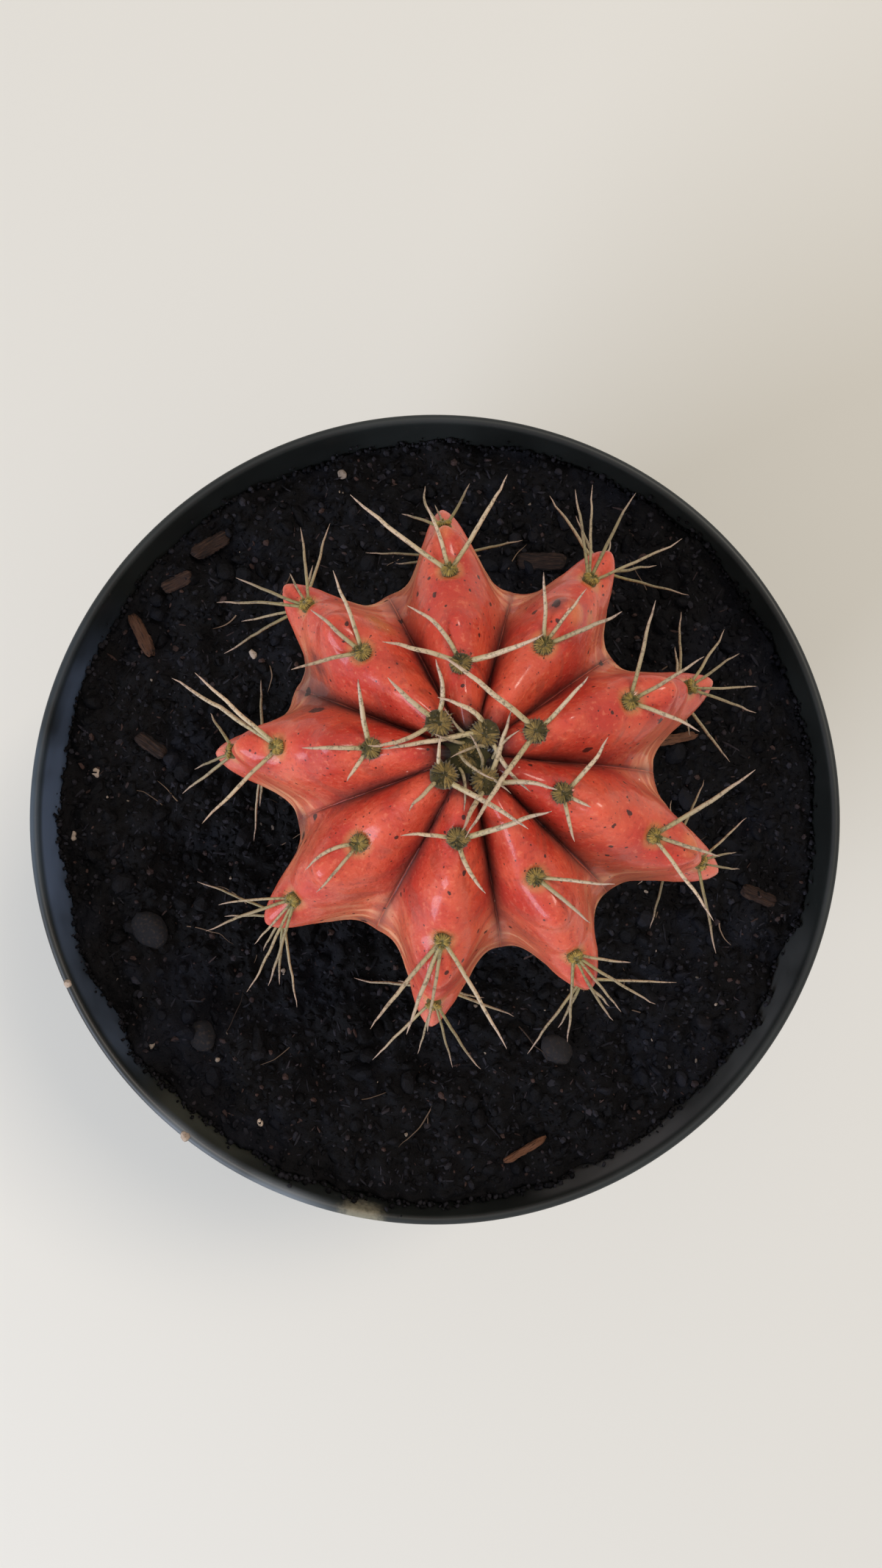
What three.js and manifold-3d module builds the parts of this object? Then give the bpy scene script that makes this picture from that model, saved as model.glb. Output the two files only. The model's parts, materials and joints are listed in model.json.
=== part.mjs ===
// Potted moon cactus: a coral-red ribbed cactus grafted on a short green stem, in a round plastic pot.
// Millimetres, +Z up. The origin is the middle of the pot's foot.
import * as THREE from "three";
import { mergeVertices } from "three/addons/utils/BufferGeometryUtils.js";
import Module from "manifold-3d";

const wasm = await Module();
wasm.setup();

// Pot: thin moulded wall, a wider band under the rim, a foot ring and drain holes in the floor
const POT_HEIGHT = 88;
const RIM_RADIUS = 50;
const BAND_HEIGHT = 12;
const BAND_FOOT_RADIUS = 48.9;
const SHOULDER_HEIGHT = 2;
const NECK_RADIUS = 47.2;
const FOOT_RADIUS = 36.5;
const FOOT_WIDTH = 3.5;
const FOOT_HEIGHT = 2;
const WALL = 1.2;
const FLOOR = 1.6;
const LIP_ROUND = 0.4;
const POT_SIDES = 64;
const DRAIN_HOLES = 6;
const DRAIN_RADIUS = 3.5;
const DRAIN_CIRCLE = 23;
const DRAIN_SIDES = 14;

// Room left between two things that touch
const GAP = 0.3;

// Soil: its level at the wall, and the two places where it is heaped higher
const SOIL_LEVEL = 82;
const HEAPS = [
  { turn: 262, spread: 38, rise: 3.5 },
  { turn: 45, spread: 25, rise: 2 },
];
const MOUND_RISE = 1.5;
const MOUND_RADIUS = 14;
const LUMP_WAVES = 8;
const LUMP_RISE = 0.32;
const LUMP_SHORTEST = 6.5;
const LUMP_LONGEST = 17;
const LUMP_TURN = 2.4;
const LUMP_PHASE = 1.7;
const SOIL_SIDES = 48;
const SOIL_RINGS = 11;

// Green stem: three blunt wings, standing in the soil where the red top is grafted on it
const PLANT_X = 3.9;
const PLANT_Y = 5.9;
const STEM_FOOT_Z = 50;
const GRAFT_Z = 100;
const STEM_CORE_RADIUS = 5.4;
const STEM_WING = 2.7;
const STEM_WINGS = 3;
const STEM_WING_SHARPNESS = 1.6;
const STEM_TURN = 20;
const STEM_BEVEL = 4;
const STEM_BEVEL_CUT = 0.14;
const STEM_SIDES = 24;
const STEM_ROWS = 10;
const STEM_AREOLE = { fromTop: 7.5, spread: 3.5, radius: 0.9, rise: 0.6 };
const STEM_SPINE = { length: 2.6, radius: 0.3, sunk: 0.4, spread: 0.5 };

// Red top: crest line of its ribs, as a rounded body on a narrow foot
const TOP_HEIGHT = 29.5;
const WIDEST_HEIGHT = 12.8;
const CREST_REACH = 24.4;
const GRAFT_RADIUS = 7.2;
const UPPER_ROUNDNESS = 0.9;
const LOWER_ROUNDNESS = 1.15;
const DIMPLE = { depth: 2, radius: 3 };
const LEAN = { x: -0.5, y: 1.2 };

// Furrows: drawn in towards a point on the axis, from nothing at the growing point and the graft. A rib's
// section is rounded near the growing point and winged lower down
const CENTRE_HEIGHT = 12;
const FURROW = 0.26;
const FURROW_START = 6;
const FURROW_FADE = { share: 0.9, fromAngle: 100 };
const ROUNDED = { crest: 2.3, furrow: 1.15, untilAngle: 25 };
const WINGED = { crest: 1.5, furrow: 2.2, fromAngle: 80 };

// Ribs: compass turn, how far each one reaches, how far its first areole lies from the growing point along
// the crest, and the side angle of each spine from straight outwards, areole by areole
const RIBS = [
  { turn: 96.6, reach: 25.4, first: 8.7, fans: [[71, -90, 23], [51, -42, 10], [33, 8, -29, 53]] },
  { turn: 136.4, reach: 25.4, first: 4.5, fans: [[7, -59, 74], [-33, 57, 4], [22, 40, -43]] },
  { turn: 176.6, reach: 25.6, first: 9.5, fans: [[-77, 2, 56], [-34, -43, 51, 31], [-43, 11, 32]] },
  { turn: 217.9, reach: 25.8, first: 3.6, fans: [[-112, 5, 105], [-31, 14], [-40, 9, -23, 25, 36]] },
  { turn: 261, reach: 25.6, first: 8.1, fans: [[-97, 118, 27], [-34, 45, -1], [-40, 23, 38]] },
  { turn: 297.9, reach: 25.5, first: 3.2, fans: [[60, -50], [64, 25], [56, 28, -29, 0]] },
  { turn: 337, reach: 26.3, first: 9.3, fans: [[71, -4, -61], [64, 8, -34], [9, 84, -62, 35]] },
  { turn: 379.3, reach: 25.4, first: 6.6, fans: [[123, 25, -146], [61, 13, -40], [37, 14, -12, -33]] },
  { turn: 416.6, reach: 25.2, first: 2.7, fans: [[57, 128, -117], [36, -2, -39], [49, 31, 10, -36]] },
];
const REACH_MEAN = 25.1;
const AREOLE_STEP = 9.9;
const AREOLE_ROWS = 5;
const LAST_AREOLE = 49;
const HIDDEN_FANS = [[-56, 3, 52], [-36, 38]];
const HIDDEN_FAN_JITTER = 10;

// Chin under each areole and notch at it, both fading towards the growing point and the graft
const CHIN = { rise: 1.2, below: 3.2, length: 2.3, width: 0.34 };
const NOTCH = { depth: 0.5, length: 1.5 };
const CHIN_GROWN = 14;
const CHIN_FADE = { from: 44, to: 56 };
const AREOLE = { radius: 1.15, rise: 0.75, youngShare: 0.8, grown: 8 };
const SPINE = { length: 8.6, shortest: 0.8, longest: 1.1, radius: 0.46, sunk: 1.1 };
const SPINE_LIFT = { least: 24, more: 14 };
const SPINE_BEND = { least: -0.3, more: 1.6 };

// Facets: rows from the growing point to the graft, steps across a rib, drawn together at its crest
const BODY_ROWS = 25;
const RIB_STEPS = 8;
const CREST_CROWDING = 1.35;
const CREST_STEPS = 600;

// Bark chips: place, size and turn on the soil, with uneven knots along them and narrowed ends
const CHIPS = [
  { x: -37.4, y: 23.4, length: 6.2, width: 1.7, turn: -62 },
  { x: -28.6, y: 34.8, length: 5.4, width: 2.2, turn: 31 },
  { x: -32.6, y: 30, length: 4.2, width: 1.7, turn: 24 },
  { x: -36.2, y: 9.3, length: 4.4, width: 1.9, turn: -36 },
  { x: 11.4, y: -42, length: 5.8, width: 1.7, turn: 28 },
  { x: 41, y: -9.8, length: 4.4, width: 1.9, turn: -24 },
  { x: 13.5, y: 32.8, length: 6.6, width: 2.4, turn: -6 },
  { x: 30.8, y: 10.2, length: 5.4, width: 1.2, turn: 12 },
];
const CHIP = { thickness: 1, sides: 6, steps: 4, end: 0.65, thinnest: 0.75, thickest: 1.2 };

// Facets of the areoles and spines, and the seeds of what differs by chance
const AREOLE_FACETS = { sides: 6, rows: 4 };
const SPINE_FACETS = { sides: 3, steps: 2 };
const SEEDS = { stem: 11, top: 9, chips: 40 };
const SAME_POINT = 1e-5;

const materials = {
  pot: new THREE.MeshStandardMaterial({ color: 0x1c2422, roughness: 0.45, metalness: 0 }),
  soil: new THREE.MeshStandardMaterial({ color: 0x1b1716, roughness: 0.95, metalness: 0 }),
  stem: new THREE.MeshStandardMaterial({ color: 0x4d6b38, roughness: 0.5, metalness: 0 }),
  top: new THREE.MeshStandardMaterial({ color: 0xd2553c, roughness: 0.45, metalness: 0 }),
  bark: new THREE.MeshStandardMaterial({ color: 0x4a2f20, roughness: 0.85, metalness: 0 }),
};

const radians = THREE.MathUtils.degToRad;
const smoothstep = THREE.MathUtils.smoothstep;
const lerp = THREE.MathUtils.lerp;

// Seeded random numbers between 0 and 1
function randomFrom(seed) {
  let state = seed;
  return () => {
    state = (state + 0x6d2b79f5) | 0;
    let mixed = Math.imul(state ^ (state >>> 15), 1 | state);
    mixed = (mixed + Math.imul(mixed ^ (mixed >>> 7), 61 | mixed)) ^ mixed;
    return ((mixed ^ (mixed >>> 14)) >>> 0) / 4294967296;
  };
}

// Move every vertex of a geometry by a rule
function reshape(geometry, rule) {
  const position = geometry.attributes.position;
  const point = new THREE.Vector3();
  for (let i = 0; i < position.count; i++) {
    point.fromBufferAttribute(position, i);
    rule(point, i);
    position.setXYZ(i, point.x, point.y, point.z);
  }
  return geometry;
}

// A closed geometry as a solid that can be joined and cut
function solid(geometry) {
  const bare = geometry.clone();
  bare.deleteAttribute("normal");
  bare.deleteAttribute("uv");
  const merged = mergeVertices(bare, SAME_POINT);
  const corners = merged.index.array;
  const triangles = [];
  for (let i = 0; i < corners.length; i += 3) {
    const [a, b, c] = corners.slice(i, i + 3);
    if (a !== b && b !== c && c !== a) triangles.push(a, b, c);
  }
  const vertProperties = new Float32Array(merged.attributes.position.array);
  const triVerts = new Uint32Array(triangles);
  return new wasm.Manifold(new wasm.Mesh({ numProp: 3, vertProperties, triVerts }));
}

// A solid as a named mesh with its material
function meshOf(name, shape, material) {
  const { vertProperties, triVerts } = shape.getMesh();
  const geometry = new THREE.BufferGeometry();
  geometry.setAttribute("position", new THREE.BufferAttribute(vertProperties, 3));
  geometry.setIndex(new THREE.BufferAttribute(triVerts, 1));
  geometry.computeVertexNormals();
  const mesh = new THREE.Mesh(geometry, material);
  mesh.name = name;
  return mesh;
}

// A profile of radius and height turned round +Z
function turned(profile, sides) {
  const points = profile.map(([radius, height]) => new THREE.Vector2(radius, height));
  return new THREE.LatheGeometry(points, sides).rotateX(Math.PI / 2);
}

// Pot

const BAND_Z = POT_HEIGHT - BAND_HEIGHT;
const FLOOR_Z = FOOT_HEIGHT + FLOOR;

// Inside radius of the wall at a height
function insideRadius(z) {
  if (z > BAND_Z) {
    return lerp(BAND_FOOT_RADIUS, RIM_RADIUS, (z - BAND_Z) / BAND_HEIGHT) - WALL;
  }
  const shoulder = BAND_Z - SHOULDER_HEIGHT;
  if (z > shoulder) {
    return lerp(NECK_RADIUS, BAND_FOOT_RADIUS, (z - shoulder) / SHOULDER_HEIGHT) - WALL;
  }
  return lerp(FOOT_RADIUS, NECK_RADIUS, z / shoulder) - WALL;
}

function makePot() {
  const shoulder = BAND_Z - SHOULDER_HEIGHT;
  const footInside = FOOT_RADIUS - FOOT_WIDTH;
  const shell = solid(turned([
    [0, FOOT_HEIGHT],
    [footInside, FOOT_HEIGHT],
    [footInside, 0],
    [FOOT_RADIUS, 0],
    [NECK_RADIUS, shoulder],
    [BAND_FOOT_RADIUS, BAND_Z],
    [RIM_RADIUS, POT_HEIGHT - LIP_ROUND],
    [RIM_RADIUS - LIP_ROUND, POT_HEIGHT],
    [RIM_RADIUS - WALL + LIP_ROUND, POT_HEIGHT],
    [RIM_RADIUS - WALL, POT_HEIGHT - LIP_ROUND],
    [BAND_FOOT_RADIUS - WALL, BAND_Z],
    [NECK_RADIUS - WALL, shoulder],
    [insideRadius(FLOOR_Z), FLOOR_Z],
    [0, FLOOR_Z],
  ], POT_SIDES));
  let pot = shell;
  for (let i = 0; i < DRAIN_HOLES; i++) {
    const turn = (2 * Math.PI * i) / DRAIN_HOLES;
    const hole = new THREE.CylinderGeometry(DRAIN_RADIUS, DRAIN_RADIUS, 4 * FLOOR, DRAIN_SIDES);
    hole.rotateX(Math.PI / 2);
    hole.translate(DRAIN_CIRCLE * Math.cos(turn), DRAIN_CIRCLE * Math.sin(turn), FOOT_HEIGHT + FLOOR / 2);
    pot = pot.subtract(solid(hole));
  }
  return meshOf("pot", pot, materials.pot);
}

// Green stem

// Radius of the stem's section at a turn round its own axis
function stemRadius(turn, grow) {
  const wing = (0.5 + 0.5 * Math.cos(STEM_WINGS * (turn - radians(STEM_TURN)))) ** STEM_WING_SHARPNESS;
  return STEM_CORE_RADIUS + STEM_WING * wing + grow;
}

// The stem from its cut foot in the soil to a height, grown outwards by a margin
function stemShape(fromZ, toZ, grow, bevel) {
  const height = toZ - fromZ;
  const column = new THREE.CylinderGeometry(1, 1, height, STEM_SIDES, STEM_ROWS).rotateX(Math.PI / 2);
  column.translate(0, 0, fromZ + height / 2);
  reshape(column, (point) => {
    const turn = Math.atan2(point.y, point.x);
    const share = Math.hypot(point.x, point.y);
    const cut = bevel ? 1 - STEM_BEVEL_CUT * smoothstep(point.z, toZ - STEM_BEVEL, toZ) : 1;
    const radius = share * stemRadius(turn, grow) * cut;
    point.set(radius * Math.cos(turn), radius * Math.sin(turn), point.z);
  });
  return column;
}

// A spine: a slim cone, bent along its length
function spine(root, direction, length, radius, bend) {
  const cone = new THREE.ConeGeometry(radius, length, SPINE_FACETS.sides, SPINE_FACETS.steps);
  const turn = new THREE.Quaternion().setFromUnitVectors(new THREE.Vector3(0, 1, 0), direction);
  return reshape(cone, (point) => {
    const along = point.y / length + 0.5;
    point.y += length / 2;
    point.applyQuaternion(turn);
    point.addScaledVector(bend, along * along);
    point.add(root);
  });
}

// A low dome of felt that faces along a normal
function areole(centre, normal, radius, rise) {
  const dome = new THREE.SphereGeometry(1, AREOLE_FACETS.sides, AREOLE_FACETS.rows);
  dome.scale(radius, rise, radius);
  const turn = new THREE.Quaternion().setFromUnitVectors(new THREE.Vector3(0, 1, 0), normal);
  return dome.applyQuaternion(turn).translate(centre.x, centre.y, centre.z);
}

function makeStem() {
  const random = randomFrom(SEEDS.stem);
  let stem = solid(stemShape(STEM_FOOT_Z, GRAFT_Z - GAP, 0, true));
  for (let wing = 0; wing < STEM_WINGS; wing++) {
    const turn = radians(STEM_TURN + (360 / STEM_WINGS) * wing);
    const normal = new THREE.Vector3(Math.cos(turn), Math.sin(turn), 0);
    const z = GRAFT_Z - STEM_AREOLE.fromTop - STEM_AREOLE.spread * random();
    const centre = normal.clone().multiplyScalar(stemRadius(turn, 0)).setZ(z);
    stem = stem.add(solid(areole(centre, normal, STEM_AREOLE.radius, STEM_AREOLE.rise)));
    for (const side of [-1, 1]) {
      const direction = new THREE.Vector3(normal.x, normal.y, STEM_SPINE.spread * side).normalize();
      const root = centre.clone().addScaledVector(direction, -STEM_SPINE.sunk);
      const straight = new THREE.Vector3();
      stem = stem.add(solid(spine(root, direction, STEM_SPINE.length, STEM_SPINE.radius, straight)));
    }
  }
  const mesh = meshOf("rootstock", stem, materials.stem);
  mesh.position.set(PLANT_X, PLANT_Y, 0);
  return mesh;
}

// Soil

// Height of the soil at a place, with its heaps, the mound round the stem and lumps as crossed waves
function soilHeight(x, y) {
  const turn = THREE.MathUtils.radToDeg(Math.atan2(y, x));
  const out = Math.hypot(x, y) / RIM_RADIUS;
  let z = SOIL_LEVEL;
  for (const heap of HEAPS) {
    const away = THREE.MathUtils.euclideanModulo(turn - heap.turn + 180, 360) - 180;
    z += heap.rise * Math.exp(-((away / heap.spread) ** 2)) * out ** 3;
  }
  const fromStem = Math.hypot(x - PLANT_X, y - PLANT_Y) / MOUND_RADIUS;
  z += MOUND_RISE * Math.exp(-(fromStem ** 2));
  for (let i = 0; i < LUMP_WAVES; i++) {
    const waveTurn = LUMP_TURN * i;
    const length = lerp(LUMP_SHORTEST, LUMP_LONGEST, i / (LUMP_WAVES - 1));
    const along = x * Math.cos(waveTurn) + y * Math.sin(waveTurn);
    z += LUMP_RISE * Math.sin((2 * Math.PI * along) / length + LUMP_PHASE * i);
  }
  return z;
}

function makeSoil() {
  const bottom = FLOOR_Z + GAP;
  const shoulder = BAND_Z - SHOULDER_HEIGHT;
  const edge = insideRadius(SOIL_LEVEL) - GAP;
  const profile = [
    [0, bottom],
    [insideRadius(bottom) - GAP, bottom],
    [insideRadius(shoulder) - GAP, shoulder],
    [insideRadius(BAND_Z) - GAP, BAND_Z],
  ];
  for (let ring = SOIL_RINGS; ring >= 0; ring--) {
    profile.push([(edge * ring) / SOIL_RINGS, SOIL_LEVEL]);
  }
  const lump = reshape(turned(profile, SOIL_SIDES), (point) => {
    if (point.z < SOIL_LEVEL - 0.01) return;
    point.z = soilHeight(point.x, point.y);
    const radius = Math.hypot(point.x, point.y);
    if (radius > edge - 0.01) {
      const moved = (insideRadius(point.z) - GAP) / radius;
      point.set(point.x * moved, point.y * moved, point.z);
    }
  });
  const hole = stemShape(STEM_FOOT_Z - GAP, POT_HEIGHT, GAP, false).translate(PLANT_X, PLANT_Y, 0);
  return meshOf("soil", solid(lump).subtract(solid(hole)), materials.soil);
}

// Red top

// Crest line: distance from the axis and height above the graft, at an angle from the growing point
function crest(angle) {
  const up = Math.abs(Math.cos(angle));
  if (angle < Math.PI / 2) {
    const radius = CREST_REACH * Math.sin(angle) ** UPPER_ROUNDNESS;
    const dimple = DIMPLE.depth * Math.exp(-((radius / DIMPLE.radius) ** 2));
    return [radius, WIDEST_HEIGHT + (TOP_HEIGHT - WIDEST_HEIGHT) * up ** UPPER_ROUNDNESS - dimple];
  }
  const out = Math.abs(Math.sin(angle)) ** LOWER_ROUNDNESS;
  return [lerp(GRAFT_RADIUS, CREST_REACH, out), WIDEST_HEIGHT * (1 - up)];
}

// Distance along the crest line at each of its small steps
const crestWay = [0];
for (let i = 1; i <= CREST_STEPS; i++) {
  const [r0, z0] = crest((Math.PI * (i - 1)) / CREST_STEPS);
  const [r1, z1] = crest((Math.PI * i) / CREST_STEPS);
  crestWay.push(crestWay[i - 1] + Math.hypot(r1 - r0, z1 - z0));
}

function distanceAt(angle) {
  const place = (angle / Math.PI) * CREST_STEPS;
  const step = Math.min(Math.floor(place), CREST_STEPS - 1);
  return lerp(crestWay[step], crestWay[step + 1], place - step);
}

function angleAt(distance) {
  const step = Math.max(1, crestWay.findIndex((way) => way >= distance));
  const share = (distance - crestWay[step - 1]) / (crestWay[step] - crestWay[step - 1]);
  return (Math.PI * (step - 1 + share)) / CREST_STEPS;
}

// Section of a rib: 0 on the crest, 1 in the furrow; rounded near the growing point, winged further out
function section(across, angle) {
  const winged = smoothstep(angle, radians(ROUNDED.untilAngle), radians(WINGED.fromAngle));
  const atCrest = lerp(ROUNDED.crest, WINGED.crest, winged);
  return 1 - (1 - across ** atCrest) ** lerp(ROUNDED.furrow, WINGED.furrow, winged);
}

// How far a rib's crest stands out in its chins, and in at its areoles, at a distance along it
function crestBulge(rib, way) {
  let bulge = 0;
  for (let row = 0; row < AREOLE_ROWS; row++) {
    const place = rib.first + AREOLE_STEP * row;
    const size = smoothstep(place, 0, CHIN_GROWN) * (1 - smoothstep(place, CHIN_FADE.from, CHIN_FADE.to));
    bulge += CHIN.rise * size * Math.exp(-(((way - place - CHIN.below) / CHIN.length) ** 2));
    bulge -= NOTCH.depth * size * Math.exp(-(((way - place) / NOTCH.length) ** 2));
  }
  return bulge;
}

// A point of the red top: rib number, place across the rib from -1 to 1, and angle from the growing point
function topPoint(ribNumber, across, angle) {
  const rib = RIBS[ribNumber];
  const side = across < 0 ? RIBS.length - 1 : 1;
  const next = RIBS[(ribNumber + side) % RIBS.length];
  const between = THREE.MathUtils.euclideanModulo(next.turn - rib.turn + 180, 360) - 180;
  const turn = radians(rib.turn + (between / 2) * Math.abs(across));
  const [radius, height] = crest(angle);
  const longer = lerp(rib.reach, (rib.reach + next.reach) / 2, across * across) / REACH_MEAN;
  const start = 1 - Math.exp(-((radius / FURROW_START) ** 2));
  const fade = 1 - FURROW_FADE.share * smoothstep(angle, radians(FURROW_FADE.fromAngle), Math.PI);
  const furrow = FURROW * start * fade * section(Math.abs(across), angle);
  const bulge = crestBulge(rib, distanceAt(angle)) * Math.exp(-((across / CHIN.width) ** 2));
  const span = Math.hypot(radius, height - CENTRE_HEIGHT);
  const scale = 1 - furrow + (bulge * start) / span;
  const spread = radius * lerp(1, longer, Math.sin(angle)) * scale;
  const z = CENTRE_HEIGHT + (height - CENTRE_HEIGHT) * scale;
  const lean = Math.max(0, (z - WIDEST_HEIGHT) / (TOP_HEIGHT - WIDEST_HEIGHT));
  return new THREE.Vector3(
    spread * Math.cos(turn) + LEAN.x * lean,
    spread * Math.sin(turn) + LEAN.y * lean,
    z,
  );
}

function makeBody() {
  const columns = RIBS.length * RIB_STEPS;
  const grid = new THREE.SphereGeometry(1, columns, BODY_ROWS);
  reshape(grid, (point, i) => {
    const row = Math.floor(i / (columns + 1));
    const column = i % (columns + 1) % columns;
    if (row === BODY_ROWS) {
      point.set(0, 0, 0);
      return;
    }
    const uneven = ((column % RIB_STEPS) / RIB_STEPS) * 2 - 1;
    const across = Math.sign(uneven) * Math.abs(uneven) ** CREST_CROWDING;
    const angle = (Math.PI * row) / (BODY_ROWS - 1);
    point.copy(topPoint(Math.floor(column / RIB_STEPS), across, angle));
    if (row === BODY_ROWS - 1) point.z = 0;
  });
  return solid(grid);
}

// Directions at a place on a rib's crest: down along it, to its side, and out of the flesh
function crestFrame(ribNumber, angle) {
  const step = radians(3);
  const down = topPoint(ribNumber, 0, angle + step).sub(topPoint(ribNumber, 0, angle - step)).normalize();
  const turn = radians(RIBS[ribNumber].turn);
  const side = new THREE.Vector3(-Math.sin(turn), Math.cos(turn), 0);
  const normal = new THREE.Vector3().crossVectors(down, side).normalize();
  return { down, side, normal };
}

// Areoles of one rib, from the growing point down, each with its fan of spines
function dressRib(ribNumber, random) {
  const rib = RIBS[ribNumber];
  const pieces = [];
  for (let row = 0; row < AREOLE_ROWS; row++) {
    const place = rib.first + AREOLE_STEP * row;
    if (place > LAST_AREOLE) break;
    const angle = angleAt(place);
    const centre = topPoint(ribNumber, 0, angle);
    const { down, side, normal } = crestFrame(ribNumber, angle);
    const size = lerp(AREOLE.youngShare, 1, smoothstep(place, 0, AREOLE.grown));
    pieces.push(areole(centre, normal, AREOLE.radius * size, AREOLE.rise));
    const shown = row < rib.fans.length;
    const fan = shown ? rib.fans[row] : HIDDEN_FANS[row - rib.fans.length];
    for (const sideAngle of fan) {
      const jitter = shown ? 0 : HIDDEN_FAN_JITTER * lerp(-1, 1, random());
      const spin = radians(sideAngle + jitter);
      const lift = radians(SPINE_LIFT.least + SPINE_LIFT.more * random());
      const direction = down.clone().multiplyScalar(Math.cos(spin) * Math.cos(lift))
        .addScaledVector(side, Math.sin(spin) * Math.cos(lift))
        .addScaledVector(normal, Math.sin(lift));
      const length = SPINE.length * lerp(SPINE.shortest, SPINE.longest, random()) + SPINE.sunk;
      const root = centre.clone().addScaledVector(direction, -SPINE.sunk);
      const bend = normal.clone().multiplyScalar(SPINE_BEND.least + SPINE_BEND.more * random());
      pieces.push(spine(root, direction, length, SPINE.radius, bend));
    }
  }
  return pieces;
}

function makeTop() {
  const random = randomFrom(SEEDS.top);
  let top = makeBody();
  for (let ribNumber = 0; ribNumber < RIBS.length; ribNumber++) {
    for (const piece of dressRib(ribNumber, random)) {
      top = top.add(solid(piece));
    }
  }
  const mesh = meshOf("scion", top, materials.top);
  mesh.position.set(PLANT_X, PLANT_Y, GRAFT_Z);
  return mesh;
}

// Bark chips

// Height of the soil's facets at a place
function groundAt(soil, x, y) {
  const ray = new THREE.Raycaster(new THREE.Vector3(x, y, 2 * POT_HEIGHT), new THREE.Vector3(0, 0, -1));
  return ray.intersectObject(soil)[0].point.z;
}

// Turn of a chip that lies on the slope of the soil under it
function lyingOn(soil, chip) {
  const reach = chip.length / 3;
  const slopeX = groundAt(soil, chip.x + reach, chip.y) - groundAt(soil, chip.x - reach, chip.y);
  const slopeY = groundAt(soil, chip.x, chip.y + reach) - groundAt(soil, chip.x, chip.y - reach);
  const normal = new THREE.Vector3(-slopeX, -slopeY, 2 * reach).normalize();
  const up = new THREE.Vector3(0, 0, 1);
  const turn = new THREE.Quaternion().setFromAxisAngle(up, radians(chip.turn));
  return new THREE.Quaternion().setFromUnitVectors(up, normal).multiply(turn);
}

function makeChip(soil, chip, number) {
  const random = randomFrom(SEEDS.chips + number);
  const knots = Array.from({ length: CHIP.steps + 1 }, () => lerp(CHIP.thinnest, CHIP.thickest, random()));
  const round = chip.width / 2;
  const shape = new THREE.CylinderGeometry(round, round, chip.length, CHIP.sides, CHIP.steps);
  shape.rotateZ(Math.PI / 2).scale(1, 1, CHIP.thickness / chip.width);
  reshape(shape, (point) => {
    const fromMiddle = (2 * point.x) / chip.length;
    const knot = knots[Math.round((fromMiddle + 1) * (CHIP.steps / 2))];
    const taper = knot * (1 - CHIP.end * fromMiddle * fromMiddle);
    point.y *= taper;
    point.z *= taper;
  });
  const mesh = meshOf(`bark_chip_${number}`, solid(shape), materials.bark);
  mesh.quaternion.copy(lyingOn(soil, chip));
  let middle = 0;
  reshape(shape, (point) => {
    point.applyQuaternion(mesh.quaternion);
    const ground = groundAt(soil, chip.x + point.x, chip.y + point.y);
    middle = Math.max(middle, ground + GAP - point.z);
  });
  mesh.position.set(chip.x, chip.y, middle);
  return mesh;
}

const plant = new THREE.Group();
const soil = makeSoil();
plant.add(makePot(), soil, makeStem(), makeTop());
CHIPS.forEach((chip, i) => plant.add(makeChip(soil, chip, i + 1)));

export default plant;
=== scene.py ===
# %% [markdown]
# # A potted moon cactus
# A moon cactus is two plants in one: a red ribbed body that can't feed itself, grafted on a green stem.
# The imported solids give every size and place. This notebook grows a fine visual model over them, piece by
# piece, and gives each piece the finish of the real one. Blender's lengths are metres, and the sizes here are
# millimetres with a factor.

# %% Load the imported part
import json
import math

import bmesh
import bpy
import numpy as np
from mathutils import Matrix, Vector, noise

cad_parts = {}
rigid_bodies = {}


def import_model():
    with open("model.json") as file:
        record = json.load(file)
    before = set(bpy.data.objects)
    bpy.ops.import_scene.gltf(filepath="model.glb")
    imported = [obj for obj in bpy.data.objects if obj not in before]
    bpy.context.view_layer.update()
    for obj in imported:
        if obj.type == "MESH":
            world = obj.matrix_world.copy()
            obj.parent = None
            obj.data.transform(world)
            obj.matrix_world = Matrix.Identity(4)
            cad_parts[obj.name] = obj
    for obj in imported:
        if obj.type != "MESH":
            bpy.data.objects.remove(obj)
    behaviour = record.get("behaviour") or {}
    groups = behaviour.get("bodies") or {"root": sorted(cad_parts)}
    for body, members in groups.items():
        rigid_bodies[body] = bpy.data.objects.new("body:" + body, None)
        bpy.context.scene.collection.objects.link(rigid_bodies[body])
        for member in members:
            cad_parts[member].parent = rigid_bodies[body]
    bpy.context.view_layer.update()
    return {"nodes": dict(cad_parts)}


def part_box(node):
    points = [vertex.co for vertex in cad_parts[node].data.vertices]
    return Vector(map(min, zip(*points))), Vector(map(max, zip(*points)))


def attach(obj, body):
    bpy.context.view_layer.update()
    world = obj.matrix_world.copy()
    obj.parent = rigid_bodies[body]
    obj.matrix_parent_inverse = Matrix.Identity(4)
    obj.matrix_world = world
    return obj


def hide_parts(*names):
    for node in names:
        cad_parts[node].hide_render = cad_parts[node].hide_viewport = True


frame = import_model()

MM = 0.001
DEGREE = math.pi / 180
print("solids:", sorted(frame["nodes"]))

# %% [markdown]
# ## Helpers
# A kind of node is a dictionary: its Blender type, its settings and the output that is wanted. A step is a
# tuple: a kind and then its inputs, which may be steps themselves, so a whole pattern reads like a formula.
# One function adds any step. Colours are sRGB hex values, which one function turns to Blender's linear ones.

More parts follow.
